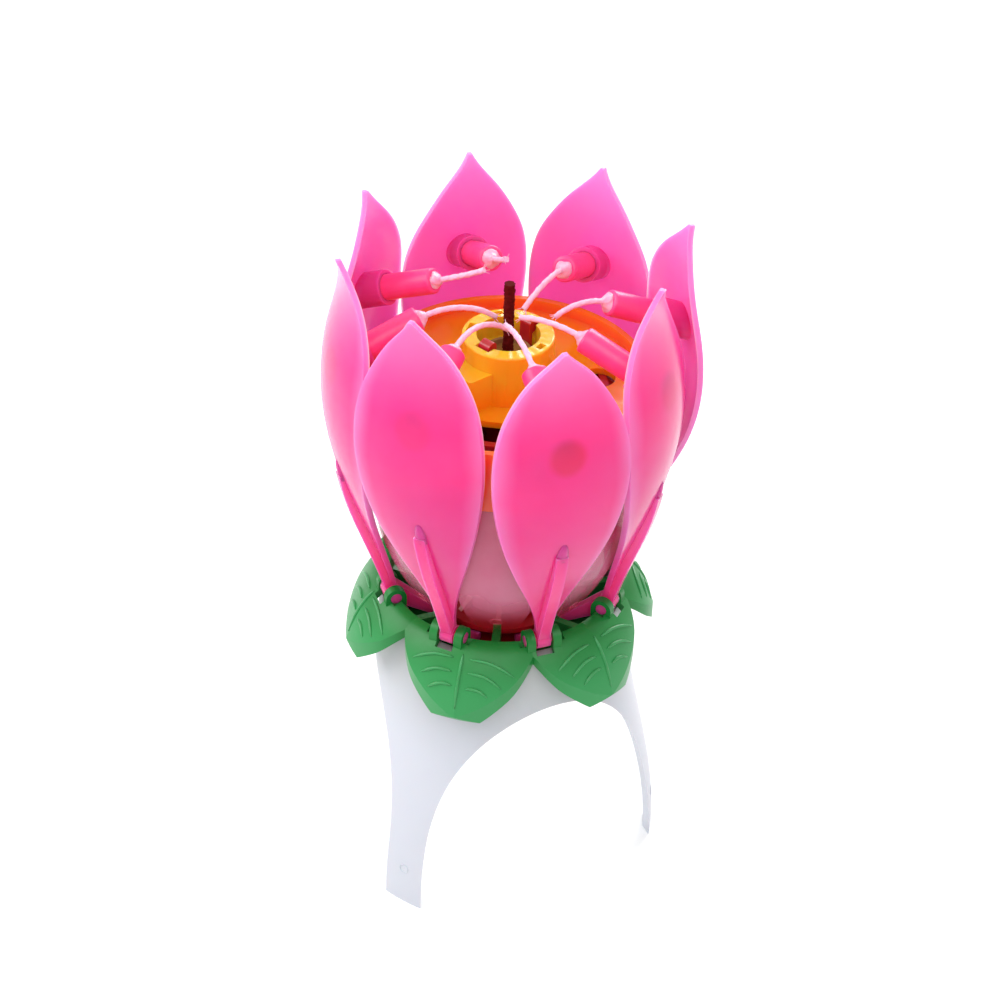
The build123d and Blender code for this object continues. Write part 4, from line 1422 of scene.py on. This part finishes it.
    def build(self) -> None:
        """Makes the wick with its fibres, in place of the plain one, and its bead."""
        end, way = self.candle_axis()
        line = self.line(end, way)
        length = sum((b - a).length for a, b in zip(line, line[1:]))
        moulder = Moulder()
        moulder.tube(line, self.uneven_radius(length), self.sides)
        self.add_fibres(moulder, line)
        cotton = self.finishes[Slot.WHITE_WICK]
        wick = moulder.piece(f"waxed_wick_{self.number}", cotton, self.body, Slot.WHITE_WICK)
        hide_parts(f"wick_{self.number}")
        self.add_bead(end, way)


@dataclass
class Petal(PetalPart):
    """One petal with its candle and waxed wick, and the rounded tip of its outer rib."""

    socket_sink: float = 1.7 * MM
    socket_shares: tuple[float, float] = (0.6, 0.82)
    cast_reach: float = 0.04
    rib_low: float = 0.018
    rib_looks: int = 180
    rib_look: float = 0.1 * MM
    rib_half: float = 1.03 * MM
    tip_length: float = 3.2 * MM
    tip_overlap: float = MM
    tip_power: float = 1.5
    tip_under: float = 0.3 * MM
    tip_sink: float = 0.02 * MM
    tip_least: float = 0.05 * MM
    tip_steps: int = 16
    tip_sides: int = 20
    front_number: int = 7
    clear_spot: float = 0.85
    faint_spot: float = 0.25

    @cached_property
    def tree(self) -> BVHTree:
        """The petal's search tree, made once."""
        return search_tree(self.node(self.body))

    def hinge(self) -> Vector:
        """The middle of the petal's hinge."""
        name = f"{self.body}_open"
        return Vector(next(joint["pos_m"] for joint in self.frame["joints"] if joint["name"] == name))

    def blade_finish(self) -> PetalFinish:
        """Sets the petal's finish out from its hinge and its tip.

        Returns:
            The finish.
        """
        hinge = self.hinge()
        points = corners(self.node(self.body))
        tip = Vector(points[np.argmax(points[:, 2])])
        up = (tip - hinge).normalized()
        side = up.cross(Vector((hinge.x, hinge.y, 0))).normalized()
        turn = Matrix((side.cross(up), side, up))
        rise = (tip - hinge).length
        low, high = self.socket_shares
        first, last = self.outer_faces(turn, hinge, [rise * low, rise * high])
        slant = (last - first) / (high - low)
        start = first - slant * low - self.socket_sink
        spot_tint = self.clear_spot if self.number == self.front_number else self.faint_spot
        return PetalFinish(turn, hinge, rise, start, slant, spot_tint)

    def outer_faces(self, turn: Matrix, hinge: Vector, rises: list[float]) -> list[float]:
        """How far out the petal's outer face lies from the hinge, along its middle line.

        Args:
            turn: The petal's axes: outward, sideways and up.
            hinge: The middle of its hinge.
            rises: Heights along the petal at which it is measured.

        Returns:
            The distances, one for each height.
        """
        out, _, up = turn
        starts = [hinge + up * rise + out * self.cast_reach for rise in rises]
        return [(self.tree.ray_cast(start, -out)[0] - hinge).dot(out) for start in starts]

    def add_rib_tip(self, finish: PetalFinish, material: bpy.types.Material) -> None:
        """Rounds the top of the petal's outer rib down into the blade.

        Args:
            finish: The petal's finish, which holds its axes.
            material: The petal's material.
        """
        out, side, up = finish.turn
        rises = [self.rib_low + self.rib_look * i for i in range(self.rib_looks)]
        faces = self.outer_faces(finish.turn, finish.hinge, rises)
        drops = [low - high for low, high in zip(faces, faces[1:])]
        proud = max(drops)
        rib_end = rises[drops.index(proud) + 1]
        rings: list[list[Vector]] = []
        for i in range(self.tip_steps + 1):
            share = i / self.tip_steps
            rise = rib_end + (self.tip_length + self.tip_overlap) * share - self.tip_overlap
            face = self.outer_faces(finish.turn, finish.hinge, [max(rise, rib_end)])[0]
            fall = math.sqrt(max(0.0, 1 - share**2))
            width = self.rib_half * fall + self.tip_least
            ring = []
            for k in range(self.tip_sides):
                angle = math.tau * k / self.tip_sides
                height = proud * fall**self.tip_power if math.sin(angle) > 0 else self.tip_under
                lift = face + math.sin(angle) * height - self.tip_sink
                ring.append(finish.hinge + up * rise + out * lift + side * math.cos(angle) * width)
            rings.append(ring)
        moulder = Moulder()
        moulder.loft(rings)
        moulder.piece(f"rib_tip_{self.number}", material, self.body, Slot.PINK_PLASTIC)

    def build(self) -> None:
        """Dresses the petal and its candle, and makes the rib's tip and the wick."""
        finish = self.blade_finish()
        material = finish.material(f"petal_pink_{self.number}")
        self.dress(self.body, material)
        self.add_rib_tip(finish, material)
        self.dress_plain([f"candle_{self.number}", f"wick_{self.number}"])
        WaxedWick(self.frame, self.finishes, self.number).build()


@dataclass(frozen=True)
class Lamp:
    """A soft round lamp, at a share of full plain light.

    Its way counts to the camera's right, away from the camera and up.
    """

    name: str
    way: tuple[float, float, float]
    distance: float
    size: float
    share: float

    def build(self, right: Vector, away: Vector, middle: Vector) -> None:
        """Makes the lamp.

        Args:
            right: The camera's right.
            away: Away from the camera.
            middle: What the lamp lights.
        """
        x, y, z = self.way
        way = (right * x + away * y + UP * z).normalized()
        data = bpy.data.lights.new(self.name, "AREA")
        data.shape = "DISK"
        data.size = self.size
        data.energy = self.share * math.pi**2 * self.distance**2
        lamp = bpy.data.objects.new(self.name, data)
        lamp.location = middle + way * self.distance
        lamp.rotation_mode = "QUATERNION"
        lamp.rotation_quaternion = way.to_track_quat("Z", "Y")
        bpy.context.scene.collection.objects.link(lamp)


@dataclass
class Studio:
    """The pale floor, the soft light and the camera at the photograph's viewing angle."""

    distance: float = 0.4208
    elevation: float = 36.96
    turn: float = -26.0
    roll: float = 1.51
    aim_height: float = 0.07513
    aim_side: float = -0.00059
    lens: float = 85.84
    sensor: float = 36.0
    nearest: float = 0.01
    floor_reach: float = 0.6
    floor_fade: tuple[float, float] = (0.12, 0.5)
    floor_pale: Rgba = (0.8, 0.8, 0.8, 1)
    ambient: float = 0.64
    lamps: tuple[Lamp, ...] = (
        Lamp("key", (-0.85, 0.0, 0.6), distance=0.8, size=0.6, share=0.6),
        Lamp("rim", (0.35, 0.85, 0.5), distance=0.8, size=0.5, share=0.75),
        Lamp("front", (0.1, -0.8, 0.9), distance=0.9, size=0.7, share=0.34),
    )

    def axes(self) -> tuple[Vector, Vector]:
        """The horizontal directions to the camera's right and away from it."""
        turn = math.radians(self.turn)
        return Vector((math.cos(turn), math.sin(turn), 0)), Vector((-math.sin(turn), math.cos(turn), 0))

    def build(self) -> None:
        """Makes the camera, the lamps, the world and the floor."""
        self.add_camera()
        for lamp in self.lamps:
            lamp.build(*self.axes(), UP * self.aim_height)
        self.add_world()
        self.add_floor()
        bpy.context.scene.view_settings.view_transform = "Standard"
        LOG.info("set the stage")

    def add_camera(self) -> None:
        """Puts the camera where the photograph was taken from."""
        right, away = self.axes()
        tilt = math.radians(self.elevation)
        roll = math.radians(self.roll)
        back = UP * math.sin(tilt) - away * math.cos(tilt)
        up = back.cross(right)
        across = right * math.cos(roll) + up * math.sin(roll)
        over = up * math.cos(roll) - right * math.sin(roll)
        data = bpy.data.cameras.new("camera")
        data.lens = self.lens
        data.sensor_width = self.sensor
        data.clip_start = self.nearest
        camera = bpy.data.objects.new("camera", data)
        place = Matrix((across, over, back)).transposed().to_4x4()
        place.translation = right * self.aim_side + UP * self.aim_height + back * self.distance
        camera.matrix_world = place
        bpy.context.scene.collection.objects.link(camera)
        bpy.context.scene.camera = camera

    def seen(self, tree: bpy.types.NodeTree) -> Output:
        """Tells where a surface is seen directly, in a reflection or through glass.

        Args:
            tree: The nodes to add to.

        Returns:
            1 where it is seen so and 0 elsewhere, as an output.
        """
        path = tree.nodes.new("ShaderNodeLightPath")
        total = path.outputs["Is Camera Ray"]
        for name in ("Is Glossy Ray", "Is Transmission Ray"):
            node = tree.nodes.new("ShaderNodeMath")
            node.operation = "MAXIMUM"
            tree.links.new(total, node.inputs[0])
            tree.links.new(path.outputs[name], node.inputs[1])
            total = node.outputs[0]
        return total

    def add_world(self) -> None:
        """Makes the world: even light, and white where it is seen."""
        world = bpy.data.worlds.new("studio")
        world.use_nodes = True
        tree = world.node_tree
        background = tree.nodes["Background"]
        background.inputs["Color"].default_value = FULL_WHITE
        strength = tree.nodes.new("ShaderNodeMapRange")
        tree.links.new(self.seen(tree), strength.inputs["Value"])
        strength.inputs["To Min"].default_value = self.ambient
        strength.inputs["To Max"].default_value = 1.0
        tree.links.new(strength.outputs["Result"], background.inputs["Strength"])
        bpy.context.scene.world = world

    def add_floor(self) -> None:
        """Makes the pale floor, which shows white, keeps the object's shadow and fades out far away."""
        reach = self.floor_reach
        edge = [(-reach, -reach, 0), (reach, -reach, 0), (reach, reach, 0), (-reach, reach, 0)]
        mesh = bpy.data.meshes.new("floor")
        mesh.from_pydata(edge, [], [(0, 1, 2, 3)])
        shading = Shading("floor_white")
        x, y, _ = shading.split(shading.place())
        away = shading.step(shading.reach(x, y), *self.floor_fade)
        shading.set(
            Base_Color=shading.blend(self.seen(shading.tree), self.floor_pale, FULL_WHITE),
            Roughness=1.0,
            Specular_IOR_Level=0.0,
            Alpha=shading.math("SUBTRACT", 1.0, away),
        )
        mesh.materials.append(shading.material)
        floor = bpy.data.objects.new("floor", mesh)
        bpy.context.scene.collection.objects.link(floor)


def main() -> None:
    """Loads the frame, builds each sub-assembly in order and sets the stage."""
    logging.basicConfig(level=logging.INFO, format="%(name)s: %(message)s")
    for stray in list(bpy.data.objects):
        bpy.data.objects.remove(stray)
    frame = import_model()
    finishes = {key: finish.material() for key, finish in FINISHES.items()}
    Stand(frame, finishes).build()
    LeafCollar(frame, finishes).build()
    MusicWorks(frame, finishes).build()
    Fountain(frame, finishes).build()
    for number in range(1, PETALS + 1):
        Petal(frame, finishes, number).build()
    Studio().build()


if __name__ == "__main__":
    main()
